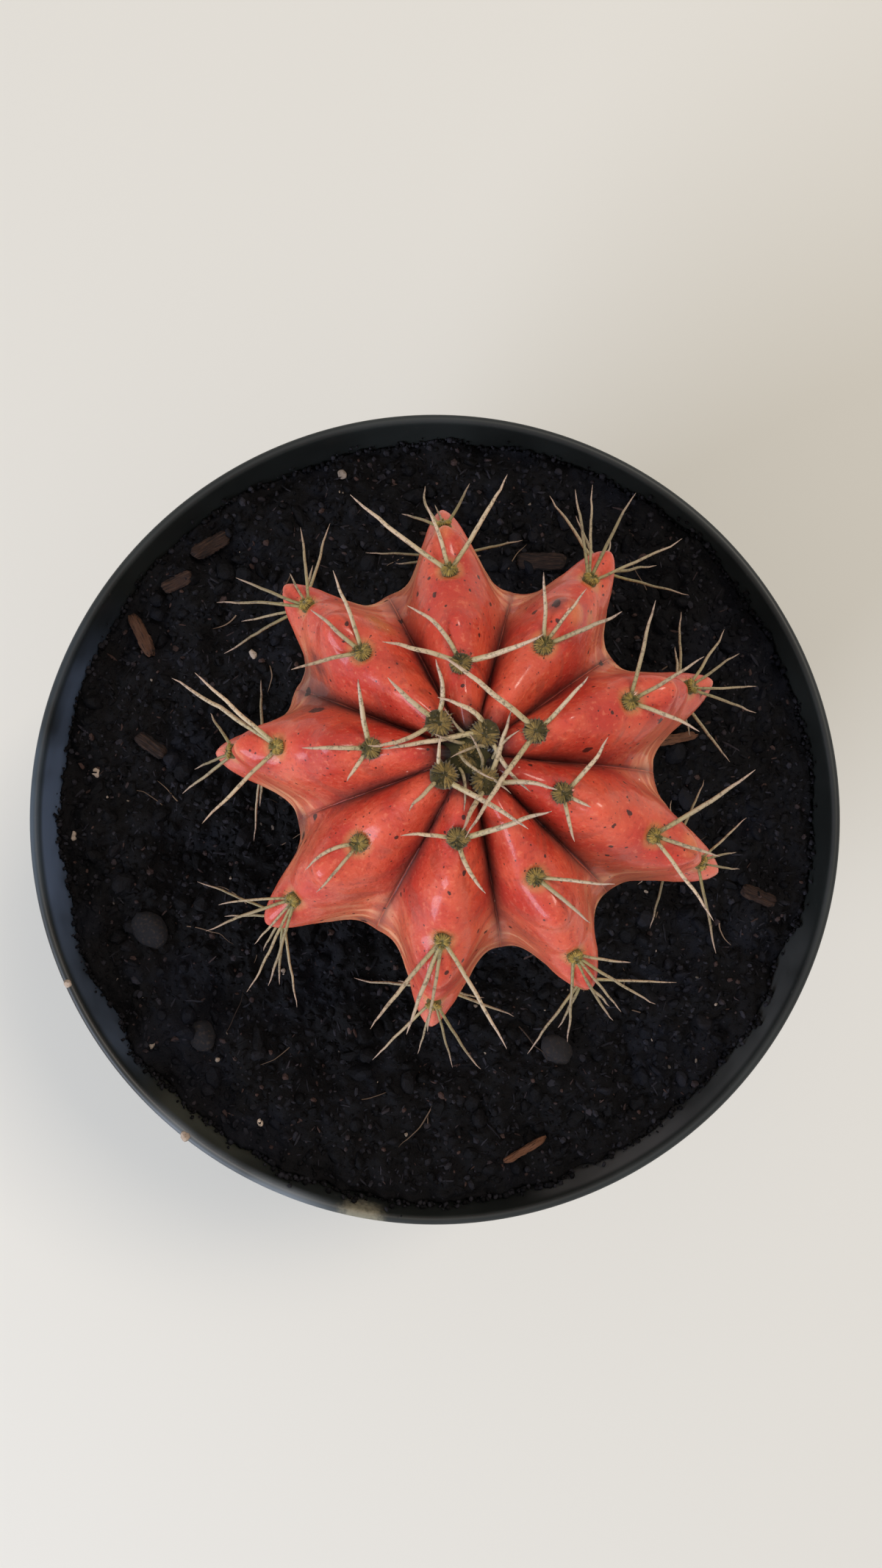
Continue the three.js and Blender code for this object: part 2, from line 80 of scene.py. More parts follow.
# %% Kinds of node
ABSOLUTE, ADD, DIVIDE, EXPONENT, GREATER_THAN, LESS_THAN, MAXIMUM, MULTIPLY, POWER, ROUND, SINE, SUBTRACT = [
    {"type": "ShaderNodeMath", "operation": name}
    for name in ("ABSOLUTE", "ADD", "DIVIDE", "EXPONENT", "GREATER_THAN", "LESS_THAN", "MAXIMUM", "MULTIPLY",
                 "POWER", "ROUND", "SINE", "SUBTRACT")]
V_ADD, V_DISTANCE, V_LENGTH, V_MULTIPLY, V_SCALE, V_SUBTRACT = [
    {"type": "ShaderNodeVectorMath", "operation": name}
    for name in ("ADD", "DISTANCE", "LENGTH", "MULTIPLY", "SCALE", "SUBTRACT")]
BUMP = {"type": "ShaderNodeBump"}
COMBINE = {"type": "ShaderNodeCombineXYZ"}
HEIGHT = {"type": "ShaderNodeSeparateXYZ", "out": "Z"}
MIX = {"type": "ShaderNodeMix", "data_type": "RGBA"}
RANGE = {"type": "ShaderNodeMapRange"}
RISE = {**RANGE, "interpolation_type": "SMOOTHSTEP"}
CELLS = {"type": "ShaderNodeTexVoronoi"}
NOISE = {"type": "ShaderNodeTexNoise", "out": "Fac"}
DRIFT = {**NOISE, "out": "Color"}
RANDOM = {"type": "FunctionNodeRandomValue", "data_type": "FLOAT"}
RANDOM_VECTOR = {**RANDOM, "data_type": "FLOAT_VECTOR"}
NUMBER = {"type": "GeometryNodeInputNamedAttribute", "data_type": "FLOAT"}
ARROW = {**NUMBER, "data_type": "FLOAT_VECTOR"}
STORE = {"type": "GeometryNodeStoreNamedAttribute", "data_type": "FLOAT"}
POSITION = {"type": "GeometryNodeInputPosition"}
MOVE = {"type": "GeometryNodeSetPosition"}
INSTANCE = {"type": "GeometryNodeInstanceOnPoints"}
REAL = {"type": "GeometryNodeRealizeInstances"}


def linear(colour):
    """sRGB hex to the linear colour that Blender's sockets take."""
    channels = [int(colour[i:i + 2], 16) / 255 for i in (1, 3, 5)]
    return [c / 12.92 if c <= 0.04045 else ((c + 0.055) / 1.055) ** 2.4 for c in channels] + [1.0]


def fill(tree, node, inputs):
    """Fill or link a node's inputs, given in the order of its sockets or by name in a dictionary."""
    sockets = [socket for socket in node.inputs if socket.enabled]
    pairs = []
    for number, value in enumerate(inputs):
        if isinstance(value, dict):
            pairs += [([s for s in sockets if s.name == name][0], named) for name, named in value.items()]
        else:
            pairs.append((sockets[number], value))
    for socket, value in pairs:
        if isinstance(value, tuple) and isinstance(value[0], dict):
            value = add(tree, *value)
        if isinstance(value, bpy.types.NodeSocket):
            tree.links.new(value, socket)
        else:
            socket.default_value = linear(value) if str(value).startswith("#") else value


def add(tree, kind, *inputs):
    """Add a step: a node with its settings and inputs. Returns the output that is wanted."""
    node = tree.nodes.new(kind["type"])
    count = len(tree.nodes)
    node.location = (200 * (count % 10), -300 * (count // 10))
    for name, value in kind.items():
        if name not in ("type", "out"):
            setattr(node, name, value)
    fill(tree, node, inputs)
    shown = [socket for socket in node.outputs if socket.enabled and kind.get("out") in (None, socket.name)]
    return shown[0] if shown else None


print("bone in linear light:", [round(channel, 3) for channel in linear("#c9b090")])

# %% [markdown]
# A finish starts from a material's real constants. Its pattern works from the place on the object, and from
# numbers stored on the mesh where it follows the growth. Most colours are coats laid one over another.

# %% Materials
def per(millimetres):
    """Scale of a texture whose pattern is that many millimetres wide."""
    return 1 / (millimetres * MM)


def coats(under, *layers):
    """Coats of colour: a value, where it begins and where it is full, the most it covers, its colour."""
    for value, low, high, most, colour in layers:
        under = (MIX, (RISE, value, low, high, 0, most), under, colour)
    return under


def new_material(name, pattern=None, *notes, **constants):
    """A material whose pattern gets the place and the numbers that the mesh stores under these notes."""
    material = bpy.data.materials.new(name)
    material.use_nodes = True
    tree = material.node_tree
    if pattern:
        place = add(tree, {"type": "ShaderNodeTexCoord", "out": "Object"})
        stored = {"type": "ShaderNodeAttribute", "out": "Fac"}
        read = [add(tree, {**stored, "attribute_name": note}) for note in notes]
        constants.update(pattern(tree, place, *read))
    inputs = {label.replace("_", " "): value for label, value in constants.items()}
    fill(tree, tree.nodes["Principled BSDF"], [inputs])
    print("material:", name)
    return material


print("a pattern 5 mm wide has a scale of", round(per(5)))

# %% [markdown]
# A fine piece is a mesh with a finish. Its points are worked out in millimetres, and numbers for the finish
# are stored on them. Many pieces are rings of points between two poles, so one function joins those by faces.

# %% Objects and meshes
def put(name, data):
    """A new object in the scene."""
    thing = bpy.data.objects.new(name, data)
    bpy.context.scene.collection.objects.link(thing)
    return thing


def store(mesh, label, values):
    """Store a number or a vector at each point of a mesh."""
    values = np.asarray(values, np.float32)
    kind, field = ("FLOAT_VECTOR", "vector") if values.ndim == 2 else ("FLOAT", "value")
    mesh.attributes.new(label, kind, "POINT").data.foreach_set(field, values.ravel())


def mesh_object(name, points, faces=(), material=None, **notes):
    """A smooth mesh object at the origin, from points in millimetres."""
    mesh = bpy.data.meshes.new(name)
    mesh.from_pydata([tuple(point) for point in np.array(points) * MM], [], faces)
    for label, values in notes.items():
        store(mesh, label, values)
    if faces:
        mesh.shade_smooth()
    if material:
        mesh.materials.append(material)
    return put(name, mesh)


def closed_skin(name, points, sides, material, **notes):
    """A closed mesh: a pole, rings of points from top to bottom seen from outside, a pole."""
    faces = []
    for start in range(1, len(points) - 1 - sides, sides):
        for column in range(sides):
            beside = (column + 1) % sides
            faces.append((start + column, start + sides + column, start + sides + beside, start + beside))
    last = len(points) - 1 - sides
    faces += [(0, 1 + column, 1 + (column + 1) % sides) for column in range(sides)]
    faces += [(last + (column + 1) % sides, last + column, last + sides) for column in range(sides)]
    return mesh_object(name, points, faces, material, **notes)


def swing(turn, ahead=Vector((1, 0, 0)), left=Vector((0, 1, 0))):
    """The direction at a turn in radians from ahead towards the left, and the one to its own left."""
    return ahead * math.cos(turn) + left * math.sin(turn), left * math.cos(turn) - ahead * math.sin(turn)


def finish_piece(piece, slot, *nodes):
    """Let a piece ride on the part's one body and hide the solids that it stands for. The slot is not used.
    """
    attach(piece, "root")
    if nodes:
        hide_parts(*nodes)
    print(f"{piece.name}: {len(piece.data.polygons)} faces")


print("a twelfth of a turn, and the direction to its left:", *swing(30 * DEGREE))

# %% [markdown]
# ## Geometry trees
# Each tree takes named sizes, so the same tree can make big and small spines. A modifier's inputs are set by
# the sockets' identifiers before anything is evaluated. The result is baked to a plain mesh.

# %% Make a tree and grow a mesh with it
SOCKETS = {int: "NodeSocketInt", float: "NodeSocketFloat", tuple: "NodeSocketVector",
           bpy.types.Material: "NodeSocketMaterial"}


def new_tree(name, sizes, steps, smooth=True):
    """A geometry tree with a named input for each size. Its instances are made real, shaded and dressed."""
    tree = bpy.data.node_groups.new(name, "GeometryNodeTree")
    for way in ("INPUT", "OUTPUT"):
        tree.interface.new_socket("Geometry", in_out=way, socket_type="NodeSocketGeometry")
    for label, value in sizes.items():
        tree.interface.new_socket(label, in_out="INPUT", socket_type=SOCKETS[type(value)])
    size = tree.nodes.new("NodeGroupInput").outputs
    shaded = ({"type": "GeometryNodeSetShadeSmooth"}, (REAL, steps(tree, size)), {"Shade Smooth": smooth})
    dressed = ({"type": "GeometryNodeSetMaterial"}, shaded, {"Material": size["Material"]})
    add(tree, {"type": "NodeGroupOutput"}, dressed)
    return tree


def grow(name, source, tree, sizes):
    """Run a tree on an object and return the result as a plain mesh object. The source goes."""
    modifier = source.modifiers.new(name, "NODES")
    modifier.node_group = tree
    for item in tree.interface.items_tree:
        if item.in_out == "INPUT" and item.name in sizes:
            modifier[item.identifier] = sizes[item.name]
    bpy.context.view_layer.update()
    graph = bpy.context.evaluated_depsgraph_get()
    evaluated = source.evaluated_get(graph)
    mesh = bpy.data.meshes.new_from_object(evaluated, preserve_all_data_layers=True, depsgraph=graph)
    source.modifiers.remove(modifier)
    bpy.data.objects.remove(source)
    mesh.name = name
    return put(name, mesh)


print("a tree's sizes can be:", [kind.__name__ for kind in SOCKETS])

# %% [markdown]
# ## Camera, light and floor
# The photograph looks straight down on the plant from a little above it, with a phone's short lens, so the
# rim of the pot looms over the floor. A pale sky dome gives the soft daylight of a bright room, one cool
# window lights the plant from the lower left, and a small warm one gives the wet-looking glints on the skin.

# %% Camera, lamps and floor
CAMERA_PLACE = (0.76 * MM, 4.4 * MM, 233 * MM)
FOCAL_SHARE = 1604 / 2134
SENSOR = 36
FLOOR_HALF = 1500

scene = bpy.context.scene
scene.view_settings.view_transform = "Standard"
camera_data = bpy.data.cameras.new("camera")
camera_data.sensor_width = SENSOR
camera_data.lens = SENSOR * FOCAL_SHARE
# The tallest spine is under 100 mm from the lens, where a new camera would cut it off
camera_data.clip_start = 10 * MM
scene.camera = put("camera", camera_data)
scene.camera.location = CAMERA_PLACE

scene.world = bpy.data.worlds.new("bright room")
scene.world.use_nodes = True
sky = scene.world.node_tree
fill(sky, sky.nodes["Background"], ["#eef0f2", 0.68])


def window(name, place, size, watts, colour):
    """A square soft lamp that faces the plant."""
    lamp = bpy.data.lights.new(name, "AREA")
    lamp.size = size
    lamp.energy = watts
    lamp.color = linear(colour)[:3]
    holder = put(name, lamp)
    holder.location = place
    aim = Vector((0, 0, 0.1)) - holder.location
    holder.rotation_euler = aim.to_track_quat("-Z", "Y").to_euler()


window("cool window", (-0.7, -0.55, 0.6), 0.6, 9.0, "#dce7ff")
window("warm window", (0.35, 0.3, 0.9), 0.22, 3.2, "#fff2e2")

floor_finish = new_material("pale painted floor", Base_Color="#d8d3c8", Roughness=0.75)
corners = [(FLOOR_HALF * x, FLOOR_HALF * y, 0) for x, y in ((-1, -1), (1, -1), (1, 1), (-1, 1))]
floor = mesh_object("floor", corners, [(0, 1, 2, 3)], floor_finish)
print("lens", round(camera_data.lens, 2), "mm, camera", CAMERA_PLACE)

# %% [markdown]
# ## Sizes
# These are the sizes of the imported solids, in millimetres, so that each fine piece lies where its solid is.
# The pot is a 10 cm nursery pot. The red body is a ball on a narrow foot, whose nine ribs each have a
# compass turn, a reach and the distance of their first areole from the growing point. An areole is the
# cushion of felt that spines grow from.

# %% Sizes in millimetres
POT_HEIGHT, RIM_RADIUS = 88, 50
BAND_Z, BAND_FOOT_RADIUS = 76, 48.9
SHOULDER_Z, NECK_RADIUS = 74, 47.2
FOOT_RADIUS, FOOT_INSIDE, FOOT_HEIGHT = 36.5, 33, 2
WALL, FLOOR_Z = 1.2, 3.6
GAP = 0.3
SOIL_LEVEL = 82
PLANT = np.array((3.9, 5.9, 0))
STEM_FOOT_Z, GRAFT_Z = 50, 100
TOP_HEIGHT, WIDEST_HEIGHT, CREST_REACH, GRAFT_RADIUS = 29.5, 12.8, 24.4, 7.2
REACH_MEAN = 25.1
AREOLE_STEP, AREOLE_ROWS, LAST_AREOLE = 9.9, 5, 49

# Ribs: turn, reach, place of the first areole, and for each areole its spines: side angle from straight
# outwards, length, and how far the tip curls aside. Angles grow counter-clockwise, seen from above
RIBS = [dict(zip(("turn", "reach", "first", "fans"), rib)) for rib in (
    (96.6, 25.4, 8.7, [
        [(71, 7.4, 0.4), (-90, 7.6, 0.8), (23, 6.2, 1.7)],
        [(51, 11, -0.4), (-42, 10, 0.4), (10, 6, 0.3)],
        [(33, 6, -2), (8, 3.5, 0.2), (-29, 7.5, 0.5), (53, 5, -0.4)]]),
    (136.4, 25.4, 4.5, [
        [(7, 6.2, -0.4), (-59, 5.4, 1.7), (74, 6.6, -1.7)],
        [(-33, 7.2, 0.4), (57, 6, 0.5), (4, 5.6, 0)],
        [(22, 8, -0.3), (40, 9, 0.3), (-43, 8, 0.4), (-15, 4, 0)]]),
    (176.6, 25.2, 9.5, [
        [(-77, 6, -0.5), (2, 5.6, 0.2), (56, 3.2, 0.4)],
        [(-34, 11.5, 0.3), (-43, 9.5, -0.3), (51, 9.4, 0.2)],
        [(-43, 6, 0.3), (11, 7.5, 0), (32, 9, -0.5)]]),
    (217.9, 25.8, 3.6, [
        [(-112, 3.4, -0.5), (5, 5.2, 0.3), (105, 9, -0.5)],
        [(-31, 4.8, 1.8), (14, 5.4, -0.4)],
        [(-40, 7.5, 0.8), (9, 6, 0), (-23, 9, 0.3), (25, 10, 0), (36, 9, -0.4)]]),
    (261, 25.6, 8.1, [
        [(-97, 5, 0.8), (118, 8.8, 0.3), (27, 5, 0.9)],
        [(-34, 10, 0.2), (45, 11, -0.3), (-1, 8, 0), (-14, 9, 0.2)],
        [(-40, 9, 0.3), (23, 8, -0.2), (38, 9, 0.4), (-8, 7, 0)]]),
    (297.9, 25.5, 3.2, [
        [(60, 6.2, -1.1), (-50, 5.4, 0.4), (128, 6.4, 0.3)],
        [(64, 6.8, 0), (25, 5.8, -0.2)],
        [(56, 5, 0.3), (28, 10, 0.2), (-29, 9, 0), (0, 8, 0.5), (14, 7.5, -0.3)]]),
    (337, 26.3, 9.3, [
        [(71, 6, 0.8), (-4, 2.4, 0), (-61, 4.2, 0.3)],
        [(64, 10.5, 0.5), (8, 6, 0), (-34, 9, -0.3)],
        [(9, 6.5, 0.4), (84, 6, 0.5), (-62, 9, 0), (35, 5.5, -0.8)]]),
    (379.3, 24.9, 6.6, [
        [(123, 11.5, 0.5), (25, 6.2, 0.4), (-146, 11.6, 0.3)],
        [(61, 9, 0.4), (13, 7.2, 0.2), (-40, 6.4, -0.4)],
        [(37, 7.5, 0.3), (14, 8.5, 0), (-12, 9.5, 0.4), (-33, 8, 0)]]),
    (416.6, 25.2, 2.7, [
        [(57, 4.8, 2.2), (128, 9.3, -0.4), (-117, 6.4, 1.2)],
        [(36, 6.2, 0.3), (-2, 6, -0.2), (-39, 7.4, 0.3)],
        [(49, 8.5, 0.3), (31, 9.5, 0.3), (10, 10, -0.3), (-36, 9.5, 0.3)]]))]
HIDDEN_FANS = [[(-66, 10, 0.4), (-30, 9, 0), (8, 8.5, 0.3), (38, 9.5, 0), (70, 10, -0.4)],
               [(-52, 9, 0), (0, 7, 0), (48, 9, 0)]]
print(len(RIBS), "ribs,", sum(len(fan) for rib in RIBS for fan in rib["fans"]), "spines in view")

# %% [markdown]
# ## Finishes
# The pot is thin injection-moulded polypropylene, near black with a green cast. Its satin skin is a little
# uneven from the mould, it holds a film of dust, and hard water and soil have left a pale crust on the rim.
# Pale patches on the wall over the soil are painted light, where daylight shines through the thin plastic,
# and paler patches on the lip are a painted sheen.

# %% Moulded plastic
CRUST_PLACE, CRUST_REACH = (-9.1, -48.7, 88), 5.2
# Painted light on the wall over the soil, where daylight shines through the thin plastic, and then a painted
# sheen on the lip: place, reach and colour
WALL_PAINTED_LIGHT = [((-50, 2, 83), 30, "#596880"), ((41, -29, 82), 21, "#4b4b49"), ((-43, -24, 84), 14, "#46505f"),
              ((24, -43, 83), 17, "#585756"), ((-29, -38, 84), 12, "#42433b")]
LIP_PAINTED_SHEEN = [((-25, -43, 88), 17, "#656b70"), ((-50, 8, 88), 24, "#39434c")]
LIP_FOOT, LIP_TOP = 86.5 * MM, 87.8 * MM


def pot_plastic(tree, place):
    """Injection-moulded polypropylene, satin: blurred sky on the rim, dust in the corners, painted light on
    wall and lip.
    """
    cloud = add(tree, NOISE, place, per(14), 3)
    dust = add(tree, NOISE, place, per(0.8), 4, 0.7)
    patchy = add(tree, RISE, cloud, 0.2, 0.6)
    layers = [(cloud, 0.35, 0.7, 1, "#242725")]
    # Pale patches of painted light on the wall over the soil, and a painted sheen on the lip
    for light_patches, edges in ((WALL_PAINTED_LIGHT, (LIP_TOP, LIP_FOOT)), (LIP_PAINTED_SHEEN, (LIP_FOOT, LIP_TOP))):
        there = add(tree, MULTIPLY, patchy, (RISE, (HEIGHT, place), *edges))
        for centre, reach, colour in light_patches:
            away = (V_DISTANCE, place, tuple(c * MM for c in centre))
            layers.append((away, reach * MM, reach * MM * 0.35, there, colour))
    layers.append((dust, 0.64, 0.76, 0.4, "#5c5850"))
    away = (V_DISTANCE, place, tuple(c * MM for c in CRUST_PLACE))
    crumbled = (MULTIPLY, (RISE, away, CRUST_REACH * MM, 0), dust)
    layers.append((crumbled, 0.1, 0.5, 0.7, "#8f8872"))
    grain = (NOISE, place, per(0.35), 2)
    return dict(Base_Color=coats("#191b19", *layers), Roughness=(RANGE, cloud, 0, 1, 0.34, 0.56),
                Normal=(BUMP, 0.35, 0.02 * MM, {"Height": grain}))


pot_finish = new_material("moulded black polypropylene", pot_plastic, Specular_IOR_Level=0.4)

# %% [markdown]
# Potting mix is composted bark and peat: near black when damp, with browner crumbs that have begun to dry.
# Each crumb stores its own tone, so one finish serves the whole bed. Grit is pale broken stone. The bark
# slivers are split along their fibres, so their streaks run lengthwise.

# %% Soil, grit and bark
def damp_soil(tree, place, tone):
    """Composted bark and peat, damp: dark, rough, with small moist glints."""
    fine = add(tree, NOISE, place, per(0.7), 5, 0.65)
    colour = coats("#050405", (fine, 0.35, 0.7, 1, "#100e0f"), (tone, 0.4, 0.95, 0.75, "#2f2d32"),
                   (tone, 0.9, 1, 0.8, "#44312a"), ((NOISE, place, per(11), 2), 0.5, 0.68, 0.35, "#171922"))
    return dict(Base_Color=colour, Roughness=(RANGE, fine, 0, 1, 0.5, 1),
                Normal=(BUMP, 0.9, 0.3 * MM, {"Height": fine}))


def broken_stone(tree, place, tone):
    """Pale crushed stone with a dusty skin. Its tone runs from dark pebbles to pale grit."""
    grain = add(tree, NOISE, place, per(0.4), 4)
    colour = coats((MIX, tone, "#0f1015", "#c0ab98"), (grain, 0.5, 0.7, 0.6, "#352b25"))
    return dict(Base_Color=colour, Normal=(BUMP, 1, 0.08 * MM, {"Height": grain}))


def split_bark(tree, place, tone, grain):
    """Split pine bark: brown fibres, some bleached, running along each sliver."""
    fibres = add(tree, NOISE, grain.node.outputs["Vector"], 1, 4, 0.6)
    colour = coats((MIX, tone, "#17100e", "#6e4730"), (fibres, 0.5, 0.68, 0.3, "#5e4636"),
                   (fibres, 0.5, 0.36, 0.85, "#110c0b"))
    return dict(Base_Color=colour, Normal=(BUMP, 1, 0.3 * MM, {"Height": fibres}))


def thin_root(tree, place, tone):
    """Dried root threads: pale brown, matt."""
    return dict(Base_Color=(MIX, tone, "#30251f", "#7d6653"))


soil_finish = new_material("damp potting mix", damp_soil, "tone", Specular_IOR_Level=0.12)
grit_finish = new_material("crushed stone grit", broken_stone, "tone", Specular_IOR_Level=0.2, Roughness=0.9)
bark_finish = new_material("split pine bark", split_bark, "tone", "grain", Specular_IOR_Level=0.25,
                           Roughness=0.85)
root_finish = new_material("dried root threads", thin_root, "tone", Specular_IOR_Level=0.2, Roughness=0.9)

# %% [markdown]
# The red body has no green in it, so its skin glows: light goes in, scatters in the watery flesh and comes
# back redder. A waxy layer on top gives the sharp pale glints. Colour follows growth. The crests are coral,
# and the flanks fade to peach towards the outline in fine streaks. The furrows get painted shade: maroon,
# with a near-black line where two ribs meet, and the skin round the growing point is painted near black.
# Lit orange spots on the chins are painted light. All of that reads numbers stored on the mesh: the place
# across a rib, the way down its crest, the angle from the growing point, the rib's number, and the distances
# to the painted lit spots on the chins and to the older areoles.

# %% Red skin
# Specks: cell size in millimetres, colour, share of cells left empty, largest reach as a share of a cell
SPECKS = [(0.6, "#481812", 0.1, 0.21), (1.5, "#2c100c", 0.4, 0.18), (2, "#f0cdb4", 0.6, 0.07)]


def red_skin(tree, place, signed, way, angle, rib, chin_light, felt_edge):
    """Waxy skin over red watery flesh."""
    across = add(tree, ABSOLUTE, signed)
    cloud = add(tree, NOISE, place, per(5), 3)
    fine = add(tree, NOISE, place, per(0.5), 4)

    # Bands: about 0.8 mm wide, from the crest to the furrow, side by side down the flank
    banded = (COMBINE, (MULTIPLY, signed, 1.4), (MULTIPLY, way, per(1.9)), (MULTIPLY, rib, 7.3))
    bands = add(tree, NOISE, banded, 1, 2, {"Distortion": 0.3})
    flank = add(tree, RISE, across, 0.15, 0.6)
    outer = add(tree, RISE, angle, 38 * DEGREE, 76 * DEGREE)
    upper = (RANGE, angle, 98 * DEGREE, 80 * DEGREE, 0.5, 0.85)

    # Specks of soil and pale grains: one uneven dot in some cells of each pattern
    ragged = add(tree, V_ADD, place, (V_SCALE, (DRIFT, place, per(0.6), 2), 0.3 * MM))
    specks = []
    for size, colour, empty, widest in SPECKS:
        cells = add(tree, CELLS, ragged, per(size)).node.outputs
        chance = ({"type": "ShaderNodeSeparateColor"}, cells["Color"])
        within = (SUBTRACT, (RANGE, chance, empty, 1, 0, widest), cells["Distance"])
        specks.append((within, 0, 0.03, 0.9, colour))

    drift = (RANGE, cloud, 0.3, 0.7, -0.9 * MM, 0.9 * MM)
    skin = coats(
        "#bb3624",
        (cloud, 0.35, 0.65, 1, "#d15539"),
        # Dark and light pores
        (fine, 0.44, 0.32, 0.45, "#972c1e"),
        (fine, 0.56, 0.7, 0.4, "#e07c5b"),
        # Flanks: peach towards the outline, with light and dark streaks
        (across, 0.15, 0.6, (MULTIPLY, outer, 0.7), "#c4714a"),
        (bands, 0.48, 0.62, (MULTIPLY, (MULTIPLY, outer, flank), upper), "#e39d74"),
        (bands, 0.46, 0.34, (MULTIPLY, flank, 0.55), "#9c4433"),
        # Crests: paler towards the tips of the ribs
        (across, 0.32, 0.05, (RISE, angle, 62 * DEGREE, 90 * DEGREE, 0, 0.65), "#e08068"),
        # Furrows: painted shade in maroon near the growing point, dust further out, and a near-black line of
        # painted shade where two ribs meet
        (across, 0.68, 1, (RISE, angle, 62 * DEGREE, 32 * DEGREE, 0, 0.65), "#6e2018"),
        (across, 0.8, 1, (RISE, cloud, 0.3, 0.6, 0, 0.7), "#7f4034"),
        (across, 0.93, 1, (RISE, angle, 80 * DEGREE, 52 * DEGREE, 0, 0.75), "#48150f"),
        # Painted shade: near black round the growing point, under the felt
        (way, 6 * MM, 2.2 * MM, 1, "#1d120d"),
        # Painted light: lit orange spots on the chins beside the glints; and a straw ring at the older
        # areoles
        ((ADD, chin_light, drift), 1.7 * MM, 0, 0.5, "#e08f58"),
        (felt_edge, 1.7 * MM, 0.9 * MM, 0.5, "#c98f55"),
        *specks)
    dull = (MAXIMUM, (RISE, across, 0.6, 1, 0, 0.35), (RISE, way, 8 * MM, 4 * MM, 0, 0.4))
    creased = (NOISE, place, per(1.1), 4, {"Distortion": 0.8})
    relief = (ADD, (ADD, creased, bands), fine)
    return dict(Base_Color=skin, Roughness=(ADD, (RANGE, fine, 0, 1, 0.42, 0.64), dull),
                Normal=(BUMP, 0.9, 0.14 * MM, {"Height": relief}))


red_finish = new_material(
    "moon cactus flesh under a waxy skin", red_skin, "across", "way", "angle", "rib", "chin_light", "felt_edge",
    IOR=1.36, Subsurface_Weight=0.35, Subsurface_Radius=(1.0, 0.22, 0.1), Subsurface_Scale=1.2 * MM,
    Coat_Weight=0.4, Coat_Roughness=0.15)

# %% [markdown]
# The green stem keeps its own skin: dull green, paler on the wings, browned and corky near the soil. Felt is
# matted hair, grey-olive when young and bleached to straw on the older areoles. A spine is hard and dry:
# yellow-green where it leaves the felt, bone along its length, pinkish-grey at the tip, with dark flecks.

# %% Green skin, felt, spines and callus
def green_skin(tree, place, wing):
    """Dull green skin with a thin wax bloom, corky towards the soil."""
    cloud = add(tree, NOISE, place, per(3), 4)
    fine = add(tree, NOISE, place, per(0.4), 4)
    colour = coats("#3f5f33", (cloud, 0.3, 0.7, 1, "#5c7a45"), (wing, 0.5, 1, 0.6, "#8a9a5c"),
                   ((HEIGHT, place), 90 * MM, 83 * MM, (RISE, cloud, 0.3, 0.55), "#7b6748"),
                   (fine, 0.62, 0.72, 0.5, "#b7b58c"))
    return dict(Base_Color=colour, Roughness=(RANGE, cloud, 0, 1, 0.4, 0.65),
                Normal=(BUMP, 0.7, 0.06 * MM, {"Height": fine}))


def areole_felt(tree, place, age, tone):
    """Matted plant hair. The age of an areole is stored on its mesh."""
    young, old = (MIX, tone, "#2a2912", "#8f7440"), (MIX, tone, "#47461b", "#b39348")
    fine = (NOISE, place, per(0.25), 3)
    return dict(Base_Color=coats((MIX, age, young, old), (fine, 0.5, 0.35, 0.6, "#2c2a1c")))


def dry_spine(tree, place, along, tone):
    """Hard dry spine: its colour follows the way from root to tip."""
    fine = add(tree, NOISE, place, per(0.3), 3, 0.6)
    colour = coats((MIX, tone, "#756645", "#c9b090"), (along, 0.5, 0.05, 0.5, "#8f8645"),
                   (along, 0.62, 0.98, 0.6, "#ab8c80"), (fine, 0.53, 0.62, 0.6, "#4a3a2a"))
    return dict(Base_Color=colour, Normal=(BUMP, 0.6, 0.04 * MM, {"Height": fine}))


def graft_callus(tree, place):
    """Corky scar tissue round the graft."""
    fine = add(tree, NOISE, place, per(0.6), 4)
    return dict(Base_Color=coats("#7d6440", (fine, 0.35, 0.65, 1, "#c0a676")),
                Normal=(BUMP, 1, 0.15 * MM, {"Height": fine}))


green_finish = new_material("green cactus stem skin", green_skin, "wing", IOR=1.42, Subsurface_Weight=0.15,
                            Subsurface_Radius=(0.4, 1.0, 0.2), Subsurface_Scale=1.0 * MM)
felt_finish = new_material("matted areole felt", areole_felt, "age", "tone", Specular_IOR_Level=0.2,
                           Roughness=0.9, Sheen_Weight=0.2, Sheen_Roughness=0.5)
spine_finish = new_material("dry cactus spine", dry_spine, "along", "tone", IOR=1.5, Roughness=0.5)
callus_finish = new_material("corky graft callus", graft_callus, Roughness=0.85, Specular_IOR_Level=0.25)

# %% [markdown]
# ## The pot
# A nursery pot is a profile turned round an axis, so its mesh is rings of points joined by faces. The profile
# runs from the middle of the inside floor, up the wall, over the rounded lip and down the outside, which
# keeps every face pointing outwards. Then a geometry tree cuts the drain holes, since they repeat.

# %% Turn the pot's shell
POT_SIDES = 256
LIP_RADIUS = WALL / 2
EDGE_ROUND = 0.5
FILLET = 1.5


def inside_radius(z):
    """Inside radius of the pot's wall at a height."""
    heights = [0, SHOULDER_Z, BAND_Z, POT_HEIGHT]
    return np.interp(z, heights, [FOOT_RADIUS, NECK_RADIUS, BAND_FOOT_RADIUS, RIM_RADIUS]) - WALL


def arc(centre_r, centre_z, radius, start, end, steps=6):
    """Points of a rounded edge in the profile, from one angle to another in degrees."""
    angles = np.radians(np.linspace(start, end, steps))
    return [(centre_r + radius * math.cos(a), centre_z + radius * math.sin(a)) for a in angles]


